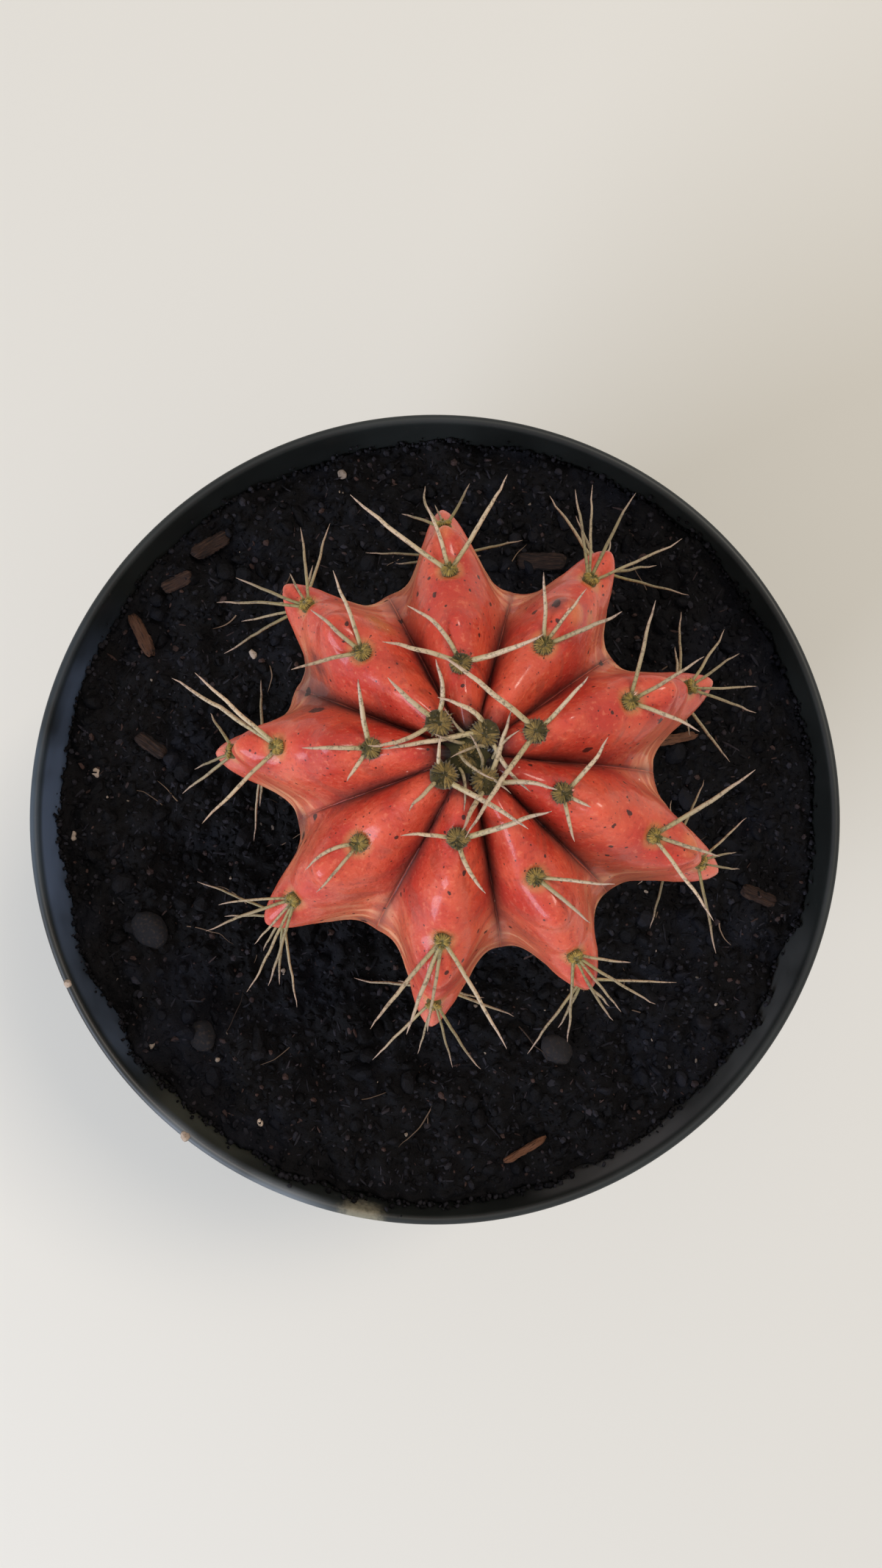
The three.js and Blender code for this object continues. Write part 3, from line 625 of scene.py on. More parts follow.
def pot_profile():
    """The pot's profile in millimetres, with rounded edges and a shallow rolled lip."""
    r = EDGE_ROUND
    corner = inside_radius(FLOOR_Z) - 0.4 - FILLET
    inner = [(radius, FLOOR_Z) for radius in (0, 6, 16, 24, 30, corner)]
    inner += arc(corner, FLOOR_Z + FILLET, FILLET, -90, 0)
    inner += [(inside_radius(z), z) for z in (10, 30, 50, 66, SHOULDER_Z - 0.6, SHOULDER_Z, BAND_Z,
                                              BAND_Z + 0.6, 80, 84, POT_HEIGHT - 1.2)]
    lip = arc(RIM_RADIUS - LIP_RADIUS, POT_HEIGHT - LIP_RADIUS, LIP_RADIUS, 180, 0, 9)
    roll = [(RIM_RADIUS - 0.05, 86.6), (RIM_RADIUS - 0.12, 86.2), (RIM_RADIUS - 0.42, 85.9)]
    band = [(BAND_FOOT_RADIUS + 0.35, 82), (BAND_FOOT_RADIUS + 0.05, 78)]
    step = arc(BAND_FOOT_RADIUS - r, BAND_Z + r, r, 0, -80, 5) + [(NECK_RADIUS + 0.1, BAND_Z - 0.9)]
    wall = [(inside_radius(z) + WALL, z) for z in (SHOULDER_Z, 60, 40, 20, 6, 1.2)]
    foot = arc(FOOT_RADIUS - r, r, r, 0, -90, 5) + arc(FOOT_INSIDE + r, r, r, -90, -180, 5)
    under = [(FOOT_INSIDE, FOOT_HEIGHT - 0.4), (FOOT_INSIDE - 0.4, FOOT_HEIGHT)]
    under += [(radius, FOOT_HEIGHT) for radius in (28, 20, 10, 2.2)]
    gate_mark = [(1.8, FOOT_HEIGHT - 0.4), (0, FOOT_HEIGHT - 0.4)]
    return inner + lip + roll + band + step + wall + foot + under + gate_mark


def turned(name, profile, sides, material):
    """A closed turned mesh. The profile's ends lie on the axis."""
    angles = np.arange(sides) * 2 * math.pi / sides
    points = [(radius * math.cos(a), radius * math.sin(a), z) for radius, z in profile[1:-1] for a in angles]
    return closed_skin(name, [(0, 0, profile[0][1]), *points, (0, 0, profile[-1][1])], sides, material)


shell = turned("pot_shell_blank", pot_profile(), POT_SIDES, pot_finish)
print("pot shell:", len(shell.data.vertices), "points")

# %% Cut the drain holes with a geometry tree
HOLE_SIZES = {"Holes": 6, "Circle": 23 * MM, "Radius": 3.5 * MM, "Depth": 4 * MM, "Height": 2.8 * MM,
              "Material": pot_finish}
DRILL_SIDES = 40


def drained(tree, size):
    """Round holes evenly spaced on a circle, cut out of the mesh that comes in."""
    circle = ({"type": "GeometryNodeMeshCircle"}, size["Holes"], size["Circle"])
    drill = ({"type": "GeometryNodeMeshCylinder"}, DRILL_SIDES,
             {"Radius": size["Radius"], "Depth": size["Depth"]})
    drills = (REAL, (INSTANCE, circle, {"Instance": drill}))
    placed = (MOVE, drills, {"Offset": (COMBINE, 0, 0, size["Height"])})
    cut = {"type": "GeometryNodeMeshBoolean", "operation": "DIFFERENCE", "solver": "EXACT"}
    return (cut, size["Geometry"], placed)


pot = grow("pot_shell", shell, new_tree("drain holes", HOLE_SIZES, drained), HOLE_SIZES)
pot.data.set_sharp_from_angle(angle=40 * DEGREE)
finish_piece(pot, "pot_plastic", "pot")

# %% [markdown]
# ## The soil
# The bed is a closed body: a crumbly top that runs from the stem's hole to the wall, the wall, the bottom and
# the hole. Its rings therefore slide from round the stem to round the pot. A tree roughens the top, and two
# more scatter loose crumbs on it, because real potting mix is grains of every size and not a bumpy sheet.

# %% Height of the soil and its bed
# Heaps by the wall: turn, spread and rise
HEAPS = [(262, 38, 3.5), (45, 25, 2)]
MOUND_RISE, MOUND_RADIUS = 1.5, 14
WAVES, WAVE_RISE, SHORTEST_WAVE, LONGEST_WAVE = 8, 0.32, 6.5, 17
STEM_CORE, STEM_WING, STEM_SHARP, STEM_TURN = 5.4, 2.7, 1.6, 20
BED_SIDES, BED_RINGS, BED_FOOT_Z = 500, 170, 3.9


def soil_height(x, y):
    """Height of the soil: its level, heaps by the wall, a mound round the stem and lumps."""
    turn = np.degrees(np.arctan2(y, x))
    z = SOIL_LEVEL
    for heap_turn, spread, rise in HEAPS:
        away = (turn - heap_turn + 180) % 360 - 180
        z = z + rise * np.exp(-((away / spread) ** 2)) * (np.hypot(x, y) / RIM_RADIUS) ** 3
    z = z + MOUND_RISE * np.exp(-((np.hypot(x - PLANT[0], y - PLANT[1]) / MOUND_RADIUS) ** 2))
    for i in range(WAVES):
        length = SHORTEST_WAVE + (LONGEST_WAVE - SHORTEST_WAVE) * i / (WAVES - 1)
        run = x * math.cos(2.4 * i) + y * math.sin(2.4 * i)
        z = z + WAVE_RISE * np.sin(2 * math.pi * run / length + 1.7 * i)
    return z


def stem_wing(turn):
    """How far out the three wings of the stem are at a turn in radians: 0 between them, 1 on each."""
    return (0.5 + 0.5 * np.cos(3 * (turn - math.radians(STEM_TURN)))) ** STEM_SHARP


def stem_radius(turn):
    """Radius of the three-winged stem at a turn in radians."""
    return STEM_CORE + STEM_WING * stem_wing(turn)


def soil_bed():
    """The closed bed, with how open each point is to the air: 1 on the top, 0 elsewhere."""
    turn = np.arange(BED_SIDES) * 2 * math.pi / BED_SIDES
    out = np.stack([np.cos(turn), np.sin(turn)], 1)
    plant = PLANT[:2]
    hole = plant + out * (stem_radius(turn) + GAP)[:, None]
    edge = inside_radius(SOIL_LEVEL) - GAP
    forward = out @ plant
    rim = plant + out * (np.sqrt(forward ** 2 - plant @ plant + edge ** 2) - forward)[:, None]
    foot_z = STEM_FOOT_Z - GAP
    rings = [np.column_stack([hole, np.full(BED_SIDES, z)]) for z in (foot_z, 65, 79)]
    open_air = [0] * (3 * BED_SIDES + 1)
    for share in np.linspace(0, 1, BED_RINGS):
        flat = hole + (rim - hole) * share
        rings.append(np.column_stack([flat, soil_height(flat[:, 0], flat[:, 1])]))
        open_air += [float(share > 0)] * BED_SIDES
    for z in (BAND_Z, SHOULDER_Z, 40, BED_FOOT_Z):
        rings.append(np.column_stack([rim / edge * (inside_radius(z) - GAP), np.full(BED_SIDES, z)]))
    open_air += [0] * (4 * BED_SIDES + 1)
    points = np.concatenate([[(*plant, foot_z)], *rings, [(0, 0, BED_FOOT_Z)]])
    return closed_skin("soil_blank", points, BED_SIDES, soil_finish, open=open_air,
                       tone=np.full(len(points), 0.2))


bed = soil_bed()
print("soil bed:", len(bed.data.vertices), "points")

# %% A tree that roughens the bed
BED_SIZES = {"Lump": 2.1 * MM, "Lump rise": 2.2 * MM, "Grain": 0.9 * MM, "Grain rise": 1.5 * MM,
             "Material": soil_finish}


def crumbly(tree, size):
    """Lumps from a cell pattern and grains from noise lift the open top of the bed."""
    place = add(tree, POSITION)
    lump_scale = add(tree, DIVIDE, 1, size["Lump"])
    moved = (V_ADD, place, (V_SCALE, (DRIFT, place, lump_scale, 2), 1.6 * MM))
    cells = ({**CELLS, "feature": "SMOOTH_F1"}, moved, lump_scale)
    lump = (MULTIPLY, (SUBTRACT, 0.45, cells), size["Lump rise"])
    grains = (NOISE, place, (DIVIDE, 1, size["Grain"]), 4)
    grain = (MULTIPLY, (SUBTRACT, grains, 0.5), size["Grain rise"])
    rise = (MULTIPLY, (ADD, lump, grain), (NUMBER, "open"))
    return (MOVE, size["Geometry"], {"Offset": (COMBINE, 0, 0, rise)})


soil = grow("soil_bed", bed, new_tree("crumbly ground", BED_SIZES, crumbly), BED_SIZES)
finish_piece(soil, "soil", "soil")

# %% [markdown]
# One helper turns points into lumps: a small ball for each point, turned and stretched, made real and then
# dented by noise that reads its place, so that no two are alike. The crumbs scatter over the bed by density.
# Pebbles, felt locks and crumbs on the wall use points that carry their own size, turn and tone.

# %% Trees for crumbs, pebbles and felt locks
MIDDLE = (0.5, 0.5, 0.5)
CRUMB_SIZES = {"Spacing": 0.7 * MM, "Density": 3.0e6, "Smallest": 0.2 * MM, "Largest": 0.65 * MM,
               "Slimmest": (0.6, 0.5, 0.4), "Fullest": (1.4, 1.0, 0.9), "Tumble": (6.3, 6.3, 6.3),
               "Palest": 1.0, "Dent": 0.5 * MM, "Detail": 1, "Seed": 3, "Reach": 47.6 * MM,
               "Clear": 8.6 * MM, "Material": soil_finish}
LUMP_SIZES = {"Detail": 2, "Dent": 0.5 * MM, "Material": grit_finish}


def lumps(points, size, radii, turn, tone):
    """Steps for dented balls on points, with their tone stored."""
    ball = ({"type": "GeometryNodeMeshIcoSphere"}, 1, size["Detail"])
    placed = (INSTANCE, points, {"Instance": ball, "Rotation": turn, "Scale": radii})
    toned = ({**STORE, "domain": "INSTANCE"}, placed, {"Name": "tone", "Value": tone})
    drift = (DRIFT, (POSITION,), (DIVIDE, 0.8, size["Dent"]), 3)
    push = (V_SCALE, (V_SUBTRACT, drift, MIDDLE), size["Dent"])
    return (MOVE, (REAL, toned), {"Offset": push})


def scattered(tree, size):
    """Loose crumbs spread over the open soil, clear of the pot's wall and of the stem."""
    flat = add(tree, V_MULTIPLY, (POSITION,), (1, 1, 0))
    inside = (LESS_THAN, (V_LENGTH, flat), size["Reach"])
    clear = (GREATER_THAN, (V_DISTANCE, flat, tuple(PLANT * MM)), size["Clear"])
    chosen = (MULTIPLY, (MULTIPLY, inside, clear), (NUMBER, "open"))
    spread = ({"type": "GeometryNodeDistributePointsOnFaces", "distribute_method": "POISSON"},
              size["Geometry"], {"Distance Min": size["Spacing"], "Density Max": size["Density"],
                                 "Density Factor": chosen, "Seed": size["Seed"]})
    radius = (RANGE, (POWER, (RANDOM, {"Seed": 21}), 2.5), 0, 1, size["Smallest"], size["Largest"])
    stretch = (RANDOM_VECTOR, size["Slimmest"], size["Fullest"], {"Seed": 22})
    turn = (RANDOM_VECTOR, {"Max": size["Tumble"], "Seed": size["Seed"]})
    tone = (MULTIPLY, (RANDOM, {"Seed": 23}), size["Palest"])
    return lumps(spread, size, (V_SCALE, stretch, radius), turn, tone)


def set_lumps(tree, size):
    """Lumps on points that carry their own size, turn and tone."""
    return lumps(size["Geometry"], size, (ARROW, "size"), (ARROW, "turn"), (NUMBER, "tone"))


crumb_growth = new_tree("loose crumbs", CRUMB_SIZES, scattered, smooth=False)
lump_growth = new_tree("lumps on points", LUMP_SIZES, set_lumps)
print("nodes:", len(crumb_growth.nodes), "for crumbs,", len(lump_growth.nodes), "for lumps on points")

# %% Scatter the crumbs
COARSE = {"Spacing": 1.9 * MM, "Density": 0.3e6, "Smallest": 0.6 * MM, "Largest": 1.6 * MM, "Palest": 0.62,
          "Dent": 1.6 * MM, "Detail": 2, "Seed": 8, "Reach": 45.8 * MM, "Clear": 10.5 * MM}
SPLINTERS = {"Spacing": 0.9 * MM, "Density": 0.7e6, "Smallest": 0.22 * MM, "Largest": 0.5 * MM,
             "Slimmest": (1.6, 0.25, 0.2), "Fullest": (3.4, 0.5, 0.4), "Tumble": (0.7, 0.7, 6.3),
             "Dent": 0.25 * MM, "Seed": 14, "Reach": 46.4 * MM, "Clear": 9.5 * MM}
WALL_CRUMBS = 1500
WALL_CRUMB_SIZES = {"Detail": 1, "Dent": 0.3 * MM, "Material": soil_finish}


def crumbs_on_wall():
    """Points for crumbs that stick to the wall where the soil meets it, fewer higher up."""
    random = np.random.default_rng(41)
    turn = random.uniform(0, 2 * math.pi, WALL_CRUMBS)
    radius = random.uniform(0.12, 0.5, WALL_CRUMBS)
    foot = inside_radius(SOIL_LEVEL)
    z = soil_height(foot * np.cos(turn), foot * np.sin(turn)) + random.exponential(0.5, WALL_CRUMBS) - 0.3
    reach = inside_radius(z) - 0.6 * radius - 0.1
    points = np.column_stack([reach * np.cos(turn), reach * np.sin(turn), z])
    stretch = random.uniform(0.5, 1.1, (WALL_CRUMBS, 3))
    turns = random.uniform(0, 6.3, (WALL_CRUMBS, 3))
    tones = random.uniform(0, 0.9, WALL_CRUMBS)
    return mesh_object("wall_crumb_points", points, size=stretch * radius[:, None] * MM, turn=turns,
                       tone=tones)


crumb_kinds = {"soil_crumbs_fine": {}, "soil_crumbs_coarse": COARSE, "soil_splinters": SPLINTERS}
for name, changes in crumb_kinds.items():
    ground = put("crumb_ground", soil.data.copy())
    finish_piece(grow(name, ground, crumb_growth, {**CRUMB_SIZES, **changes}), "soil")
finish_piece(grow("soil_crumbs_on_wall", crumbs_on_wall(), lump_growth, WALL_CRUMB_SIZES), "soil")

# %% [markdown]
# ## Things that lie on the soil
# A few pebbles and pale grit grains, slivers of bark and threads of root lie loose on the bed. Each one is
# set at the height of the soil under it and sunk a little, as watering settles them.

# %% Pebbles and grit
# Each is a place from above, a radius and a tone
PEBBLES = [(-36.4, -14.2, 2.4, 0.01), (15.4, -29.3, 2.2, 0.02), (-29.5, -27.5, 1.8, 0.01)]
GRIT = [(-23.5, 14.1, 0.55, 0.9), (-43.5, 5.8, 0.55, 0.7), (-46, -2.2, 0.5, 0.6), (-22.2, -38.4, 0.45, 1.0),
        (-11.8, 43.9, 0.55, 0.4), (-19.3, -19.5, 0.35, 0.5), (-23.1, 20.9, 0.55, 0.7),
        (-27.5, -30.7, 0.35, 0.5), (-7.6, -33.4, 0.35, 0.5), (-35.8, -28.4, 0.45, 0.4),
        (6.4, -29.7, 0.35, 0.5), (-37.1, -22.9, 0.3, 0.35), (-3.6, -40, 0.3, 0.5)]
RIM_GRIT = [(-45.1, -20.1, 0.6, 0.8), (-30.7, -38.9, 0.6, 0.75)]
FLECKS, FLECK_REACH, FLECK_CLEAR = 55, 46, 11
STONE_SIZES = {"Detail": 3, "Dent": 0.9 * MM, "Material": grit_finish}


def stones_on_soil():
    """Points for pebbles, grit and small pale flecks, with their size, turn and tone."""
    random = np.random.default_rng(5)
    rows = PEBBLES + GRIT
    while len(rows) < len(PEBBLES) + len(GRIT) + FLECKS:
        x, y = random.uniform(-FLECK_REACH, FLECK_REACH, 2)
        if math.hypot(x, y) < FLECK_REACH and math.hypot(x - PLANT[0], y - PLANT[1]) > FLECK_CLEAR:
            rows.append((x, y, random.uniform(0.12, 0.28), random.uniform(0.1, 0.6)))
    x, y, radius, tone = np.array(rows + RIM_GRIT).T
    z = soil_height(x, y) + 0.25 * radius + 0.15
    z[-len(RIM_GRIT):] = POT_HEIGHT + 0.15
    stretch = random.uniform((0.9, 0.7, 0.55), (1.2, 1.0, 0.75), (len(x), 3))
    turns = random.uniform(-0.5, 0.5, (len(x), 3)) + np.array([0, 0, 2])
    return mesh_object("stone_points", np.column_stack([x, y, z]), size=stretch * radius[:, None] * MM,
                       turn=turns, tone=tone)


finish_piece(grow("grit_and_pebbles", stones_on_soil(), lump_growth, STONE_SIZES), "grit")

# %% Bark slivers
# Each is a place from above, a length, a width, a turn and a tone
CHIPS = [(-37.4, 23.4, 6.2, 1.6, -62, 0.4), (-28.6, 34.8, 5.4, 2.0, 31, 0.1), (-32.6, 30, 4.2, 1.7, 24, 0.15),
         (-36.2, 9.3, 4.4, 1.8, -36, 0.06), (11.4, -42, 5.8, 1.0, 28, 0.85), (41, -9.8, 4.4, 1.9, -24, 0.1),
         (13.5, 32.8, 6.6, 2.2, -6, 0.06), (30.8, 10.2, 5.4, 1.2, 12, 0.8)]
CHIP_THICK, CHIP_ROWS, CHIP_SIDES = 1.0, 40, 28


def face_out(piece):
    """Turn a closed mesh's faces outwards."""
    mesh = bmesh.new()
    mesh.from_mesh(piece.data)
    bmesh.ops.recalc_face_normals(mesh, faces=mesh.faces)
    mesh.to_mesh(piece.data)
    mesh.free()


def bark_sliver(number, x, y, length, width, turn, tone):
    """A split sliver: a flattened rod with ragged ends, torn edges and ridges along its fibres."""
    low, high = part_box(f"bark_chip_{number}")
    middle = (low.z + high.z) / 2 / MM
    forward, left = swing(math.radians(turn))
    reach = length / 3
    slope = [soil_height(x + dx, y + dy) - soil_height(x - dx, y - dy) for dx, dy in ((reach, 0), (0, reach))]
    normal = Vector((-slope[0], -slope[1], 2 * reach)).normalized()
    tilt = Vector((0, 0, 1)).rotation_difference(normal)
    points, grain = [], []
    for row in range(CHIP_ROWS + 1):
        u = 2 * row / CHIP_ROWS - 1
        taper = (1 - abs(u) ** 7) ** 0.5 * (1 + 0.2 * noise.noise((u * 1.5, number, 0)))
        for side in range(1 if row in (0, CHIP_ROWS) else CHIP_SIDES):
            a = 2 * math.pi * side / CHIP_SIDES
            wide = math.copysign(abs(math.cos(a)) ** 0.7, math.cos(a))
            thick = math.copysign(abs(math.sin(a)) ** 0.8, math.sin(a))
            ragged = 1 + 0.14 * noise.noise((u * 7, wide * 3, number * 3.1))
            ridge = 0.26 * noise.noise((u * 2, wide * 7, number))
            torn = 0.22 * noise.noise((wide * 4, number * 2.3, 5))
            torn += 0.12 * noise.noise((wide * 11, thick * 3, number))
            along = u * length / 2 * (1 + torn)
            across = wide * width / 2 * taper * ragged
            lift = thick * (CHIP_THICK / 2 * taper + ridge) + 0.25 * (u ** 2 - 0.3)
            spot = tilt @ (forward * along + left * across + Vector((0, 0, lift)))
            points.append((x + spot.x, y + spot.y, middle + spot.z))
            grain.append((along * 0.5, across * 4, number + thick))
    chip = closed_skin(f"bark_sliver_{number}", points, CHIP_SIDES, bark_finish,
                       tone=np.full(len(points), tone), grain=grain)
    face_out(chip)
    finish_piece(chip, "bark", f"bark_chip_{number}")


for number, chip in enumerate(CHIPS, 1):
    bark_sliver(number, *chip)

# %% [markdown]
# ## Spines, threads and hairs
# One tree grows everything long and thin. Each point carries a direction, a length, a thickness and a bend.
# The tree sets a straight line on the point, bends it by the square of the way along it, and sweeps a small
# circle that narrows to the tip. It stores the way along, which the finish reads.

# %% A tree for spines
SPINE_SIZES = {"Steps": 14, "Sides": 7, "Taper": 3.0, "Wobble": 0.7 * MM, "Wobble size": 2.5 * MM,
               "Material": spine_finish}


def thorny(tree, size):
    """A bent tapered spine on each point of the mesh that comes in."""
    share = add(tree, NUMBER, "along")
    straight = ({"type": "GeometryNodeCurvePrimitiveLine"},)
    line = ({"type": "GeometryNodeResampleCurve"}, straight, {"Count": size["Steps"]})
    turn = ({"type": "FunctionNodeAlignRotationToVector", "axis": "Z"}, {"Vector": (ARROW, "direction")})
    placed = (INSTANCE, size["Geometry"],
              {"Instance": line, "Rotation": turn, "Scale": (NUMBER, "length")})
    along = ({"type": "GeometryNodeSplineParameter"},)
    marked = (STORE, (REAL, placed), {"Name": "along", "Value": along})
    bend = (V_SCALE, (ARROW, "bend"), (POWER, share, 2))
    drift = (DRIFT, (POSITION,), (DIVIDE, 1, size["Wobble size"]), 1)
    shake = (V_SCALE, (V_SUBTRACT, drift, MIDDLE), (MULTIPLY, share, size["Wobble"]))
    bent = (MOVE, marked, {"Offset": (V_ADD, bend, shake)})
    narrowed = (POWER, (SUBTRACT, 1.03, (POWER, share, size["Taper"])), 0.7)
    circle = ({"type": "GeometryNodeCurvePrimitiveCircle"}, size["Sides"], 1)
    radius = (MULTIPLY, narrowed, (NUMBER, "thickness"))
    return ({"type": "GeometryNodeCurveToMesh"}, bent, circle, radius, {"Fill Caps": True})


spine_growth = new_tree("spines on points", SPINE_SIZES, thorny)


def grow_spines(name, spines, sizes, **notes):
    """Grow spines from rows of (root, direction, length, thickness, bend) in millimetres."""
    root, direction, length, thickness, bend = (np.array(column) for column in zip(*spines))
    source = mesh_object(name + "_points", root, direction=direction, length=length * MM,
                         thickness=thickness * MM, bend=bend * MM, **notes)
    return grow(name, source, spine_growth, sizes)


print("trees:", [tree.name for tree in bpy.data.node_groups])

# %% Threads of root on the soil
THREADS, THREAD_REACH, THREAD_CLEAR = 46, 41, 14
THREAD_SIZES = {"Steps": 14, "Sides": 5, "Taper": 2.0, "Wobble": 2.2 * MM, "Wobble size": 3.5 * MM,
                "Material": root_finish}


def threads():
    """Root threads that lie on the bed, most of them short."""
    random = np.random.default_rng(14)
    rows = []
    while len(rows) < THREADS:
        x, y = random.uniform(-43, 43, 2)
        if math.hypot(x, y) > THREAD_REACH or math.hypot(x - PLANT[0], y - PLANT[1]) < THREAD_CLEAR:
            continue
        turn, length = random.uniform(0, 2 * math.pi), random.uniform(2.5, 7)
        end = (x + length * math.cos(turn), y + length * math.sin(turn))
        height = soil_height(x, y)
        direction = Vector((end[0] - x, end[1] - y, soil_height(*end) - height)).normalized()
        aside = random.uniform(-2, 2)
        rows.append(((x, y, height + 0.25), direction, length, random.uniform(0.05, 0.11),
                     (-aside * math.sin(turn), aside * math.cos(turn), 0.2)))
    return rows, random.uniform(0, 1, THREADS)


thread_rows, thread_tones = threads()
finish_piece(grow_spines("root_threads", thread_rows, THREAD_SIZES, tone=thread_tones), "bark")

# %% [markdown]
# ## The green stem
# The stock is a slice of a three-winged climbing cactus. It is a turned rod whose radius swells in three
# wings, pinched a little above and below each areole, and cut to a bevel where the red top sits on it.

# %% Turn the stem
STEM_SIDES, STEM_ROWS = 120, 100
STEM_BEVEL, STEM_BEVEL_CUT = 4, 0.14
# The areoles of the stem lie so far under the graft
STEM_AREOLE_DEPTHS = (11, 7.5)
SWELL, SWELL_WIDTH, SWELL_LENGTH, SWELL_DROP = 0.35, 0.3, 1.8, 1.5


def stem_areoles():
    """Turn and height of the areole on each wing of the stem."""
    random = np.random.default_rng(11)
    low, high = (GRAFT_Z - depth for depth in STEM_AREOLE_DEPTHS)
    return [(math.radians(STEM_TURN + 120 * wing), random.uniform(low, high)) for wing in range(3)]


STEM_AREOLES = stem_areoles()


def green_stem():
    """The stem from its cut top down to its foot in the soil."""
    turn = np.arange(STEM_SIDES) * 2 * math.pi / STEM_SIDES
    top = GRAFT_Z - GAP
    points, wings = [(0, 0, top)], [0.0]
    for z in np.linspace(top, STEM_FOOT_Z, STEM_ROWS):
        step = np.clip((z - (top - STEM_BEVEL)) / STEM_BEVEL, 0, 1)
        radius = stem_radius(turn) * (1 - STEM_BEVEL_CUT * step * step * (3 - 2 * step))
        for areole_turn, areole_z in STEM_AREOLES:
            away = (turn - areole_turn + math.pi) % (2 * math.pi) - math.pi
            nearby = math.exp(-(((z - areole_z + SWELL_DROP) / SWELL_LENGTH) ** 2)) - 0.5
            radius = radius + SWELL * (np.exp(-((away / SWELL_WIDTH) ** 2)) * nearby)
        uneven = [0.22 * noise.noise((math.cos(a) * 2, math.sin(a) * 2, z * 0.35)) for a in turn]
        radius = radius + np.array(uneven)
        points += [(r * math.cos(a), r * math.sin(a), z) for r, a in zip(radius, turn)]
        wings += list(stem_wing(turn))
    points.append((0, 0, STEM_FOOT_Z))
    wings.append(0.0)
    return closed_skin("green_stem", np.array(points) + PLANT, STEM_SIDES, green_finish, wing=wings)


finish_piece(green_stem(), "green_flesh", "rootstock")

# %% The callus round the graft
CALLUS_SIDES, CALLUS_ROWS, CALLUS_THICK = 120, 14, 0.75


def callus():
    """An uneven corky collar in the seam between the stem and the red top."""
    points = [(0, 0, GRAFT_Z + 0.35)]
    for row in range(CALLUS_ROWS):
        fall = math.pi * (row + 0.5) / CALLUS_ROWS
        for side in range(CALLUS_SIDES):
            a = 2 * math.pi * side / CALLUS_SIDES
            edge = 0.5 * stem_radius(a) * (1 - STEM_BEVEL_CUT) + 0.5 * GRAFT_RADIUS
            thick = CALLUS_THICK + noise.noise((3 * math.cos(a), 3 * math.sin(a), 0.8 * row)) * 0.35
            radius = (edge - 0.5) * min(1, 3 * math.sin(fall)) + thick * math.sin(fall)
            z = GRAFT_Z - 0.15 + thick * math.cos(fall)
            points.append((radius * math.cos(a), radius * math.sin(a), z))
    points.append((0, 0, GRAFT_Z - 0.7))
    return closed_skin("graft_collar", np.array(points) + PLANT, CALLUS_SIDES, callus_finish)


finish_piece(callus(), "bark")

# %% [markdown]
# ## The red body
# The body is the piece whose shape follows a rule, so a geometry tree carves it. It starts as a smooth body
# of revolution: the crest line, turned round. Each point knows how far across its rib it is, from -1 to 1,
# and how far down the crest line. The tree then draws the furrows in towards a point on the axis, pushes a
# chin out under every areole and a notch in at it, leans the top a little and wrinkles the skin.

# %% The smooth body before carving
RIB_COLUMNS, BODY_ROWS = 44, 180
BODY_COLUMNS = len(RIBS) * RIB_COLUMNS
EVEN_SHARE = 0.35
UPPER_ROUNDNESS, LOWER_ROUNDNESS = 0.9, 1.15
DIMPLE_DEPTH, DIMPLE_RADIUS = 2, 3
# How much further out the furrow between two ribs lies than the others, as a share
FULLER = {(0, 1): 0.06, (1, 2): 0.07, (3, 4): 0.025}
POLE_FIRST = 5 * MM


def crest(angle):
    """Distance from the axis and height over the graft on the crest line, by the angle from its top."""
    up, out = np.abs(np.cos(angle)), np.abs(np.sin(angle))
    upper = CREST_REACH * out ** UPPER_ROUNDNESS
    lower = GRAFT_RADIUS + (CREST_REACH - GRAFT_RADIUS) * out ** LOWER_ROUNDNESS
    dimple = DIMPLE_DEPTH * np.exp(-((upper / DIMPLE_RADIUS) ** 2))
    top = WIDEST_HEIGHT + (TOP_HEIGHT - WIDEST_HEIGHT) * up ** UPPER_ROUNDNESS - dimple
    above = angle < math.pi / 2
    return np.where(above, upper, lower), np.where(above, top, WIDEST_HEIGHT * (1 - up))


ANGLES = np.linspace(0, math.pi, BODY_ROWS + 1)
CREST_R, CREST_Z = crest(ANGLES)
WAY = np.concatenate([[0], np.cumsum(np.hypot(np.diff(CREST_R), np.diff(CREST_Z)))])


def column(number, step):
    """Turn, place across its rib, reach as a share, first areole and rib of a column of the body."""
    rib = RIBS[number]
    u = 2 * step / RIB_COLUMNS - 1
    crowded = 0.5 - 0.5 * math.cos(math.pi * u)
    across = math.copysign(EVEN_SHARE * abs(u) + (1 - EVEN_SHARE) * crowded, u)
    next_number = (number + (1 if across > 0 else -1)) % len(RIBS)
    beside = RIBS[next_number]
    between = (beside["turn"] - rib["turn"] + 180) % 360 - 180
    turn = math.radians(rib["turn"] + between / 2 * abs(across))
    longer = (rib["reach"] + (beside["reach"] - rib["reach"]) / 2 * across ** 2) / REACH_MEAN
    fuller = FULLER.get(tuple(sorted((number, next_number))), 0)
    longer += fuller * (0.5 - 0.5 * math.cos(math.pi * across)) ** 2
    return turn, across, longer, rib["first"] * MM, number


def smooth_body():
    """The crest line turned round, with what each point needs to know for the carving."""
    columns = [column(number, step) for number in range(len(RIBS)) for step in range(RIB_COLUMNS)]
    turn, across, longer, first, number = np.tile(np.array(columns).T, BODY_ROWS)
    row = np.repeat(np.arange(1, BODY_ROWS + 1), BODY_COLUMNS)
    radius = CREST_R[row]
    rings = np.column_stack([radius * np.cos(turn), radius * np.sin(turn), CREST_Z[row]])
    notes = {"across": (0, across, 0), "angle": (0, ANGLES[row], math.pi), "longer": (1, longer, 1),
             "first": (POLE_FIRST, first, POLE_FIRST), "way": (0, WAY[row] * MM, WAY[-1] * MM),
             "rib": (0, number, 0)}
    return closed_skin("body_blank", np.vstack([(0, 0, CREST_Z[0]), rings, (0, 0, 0)]), BODY_COLUMNS,
                       red_finish, **{label: np.hstack(values) for label, values in notes.items()})


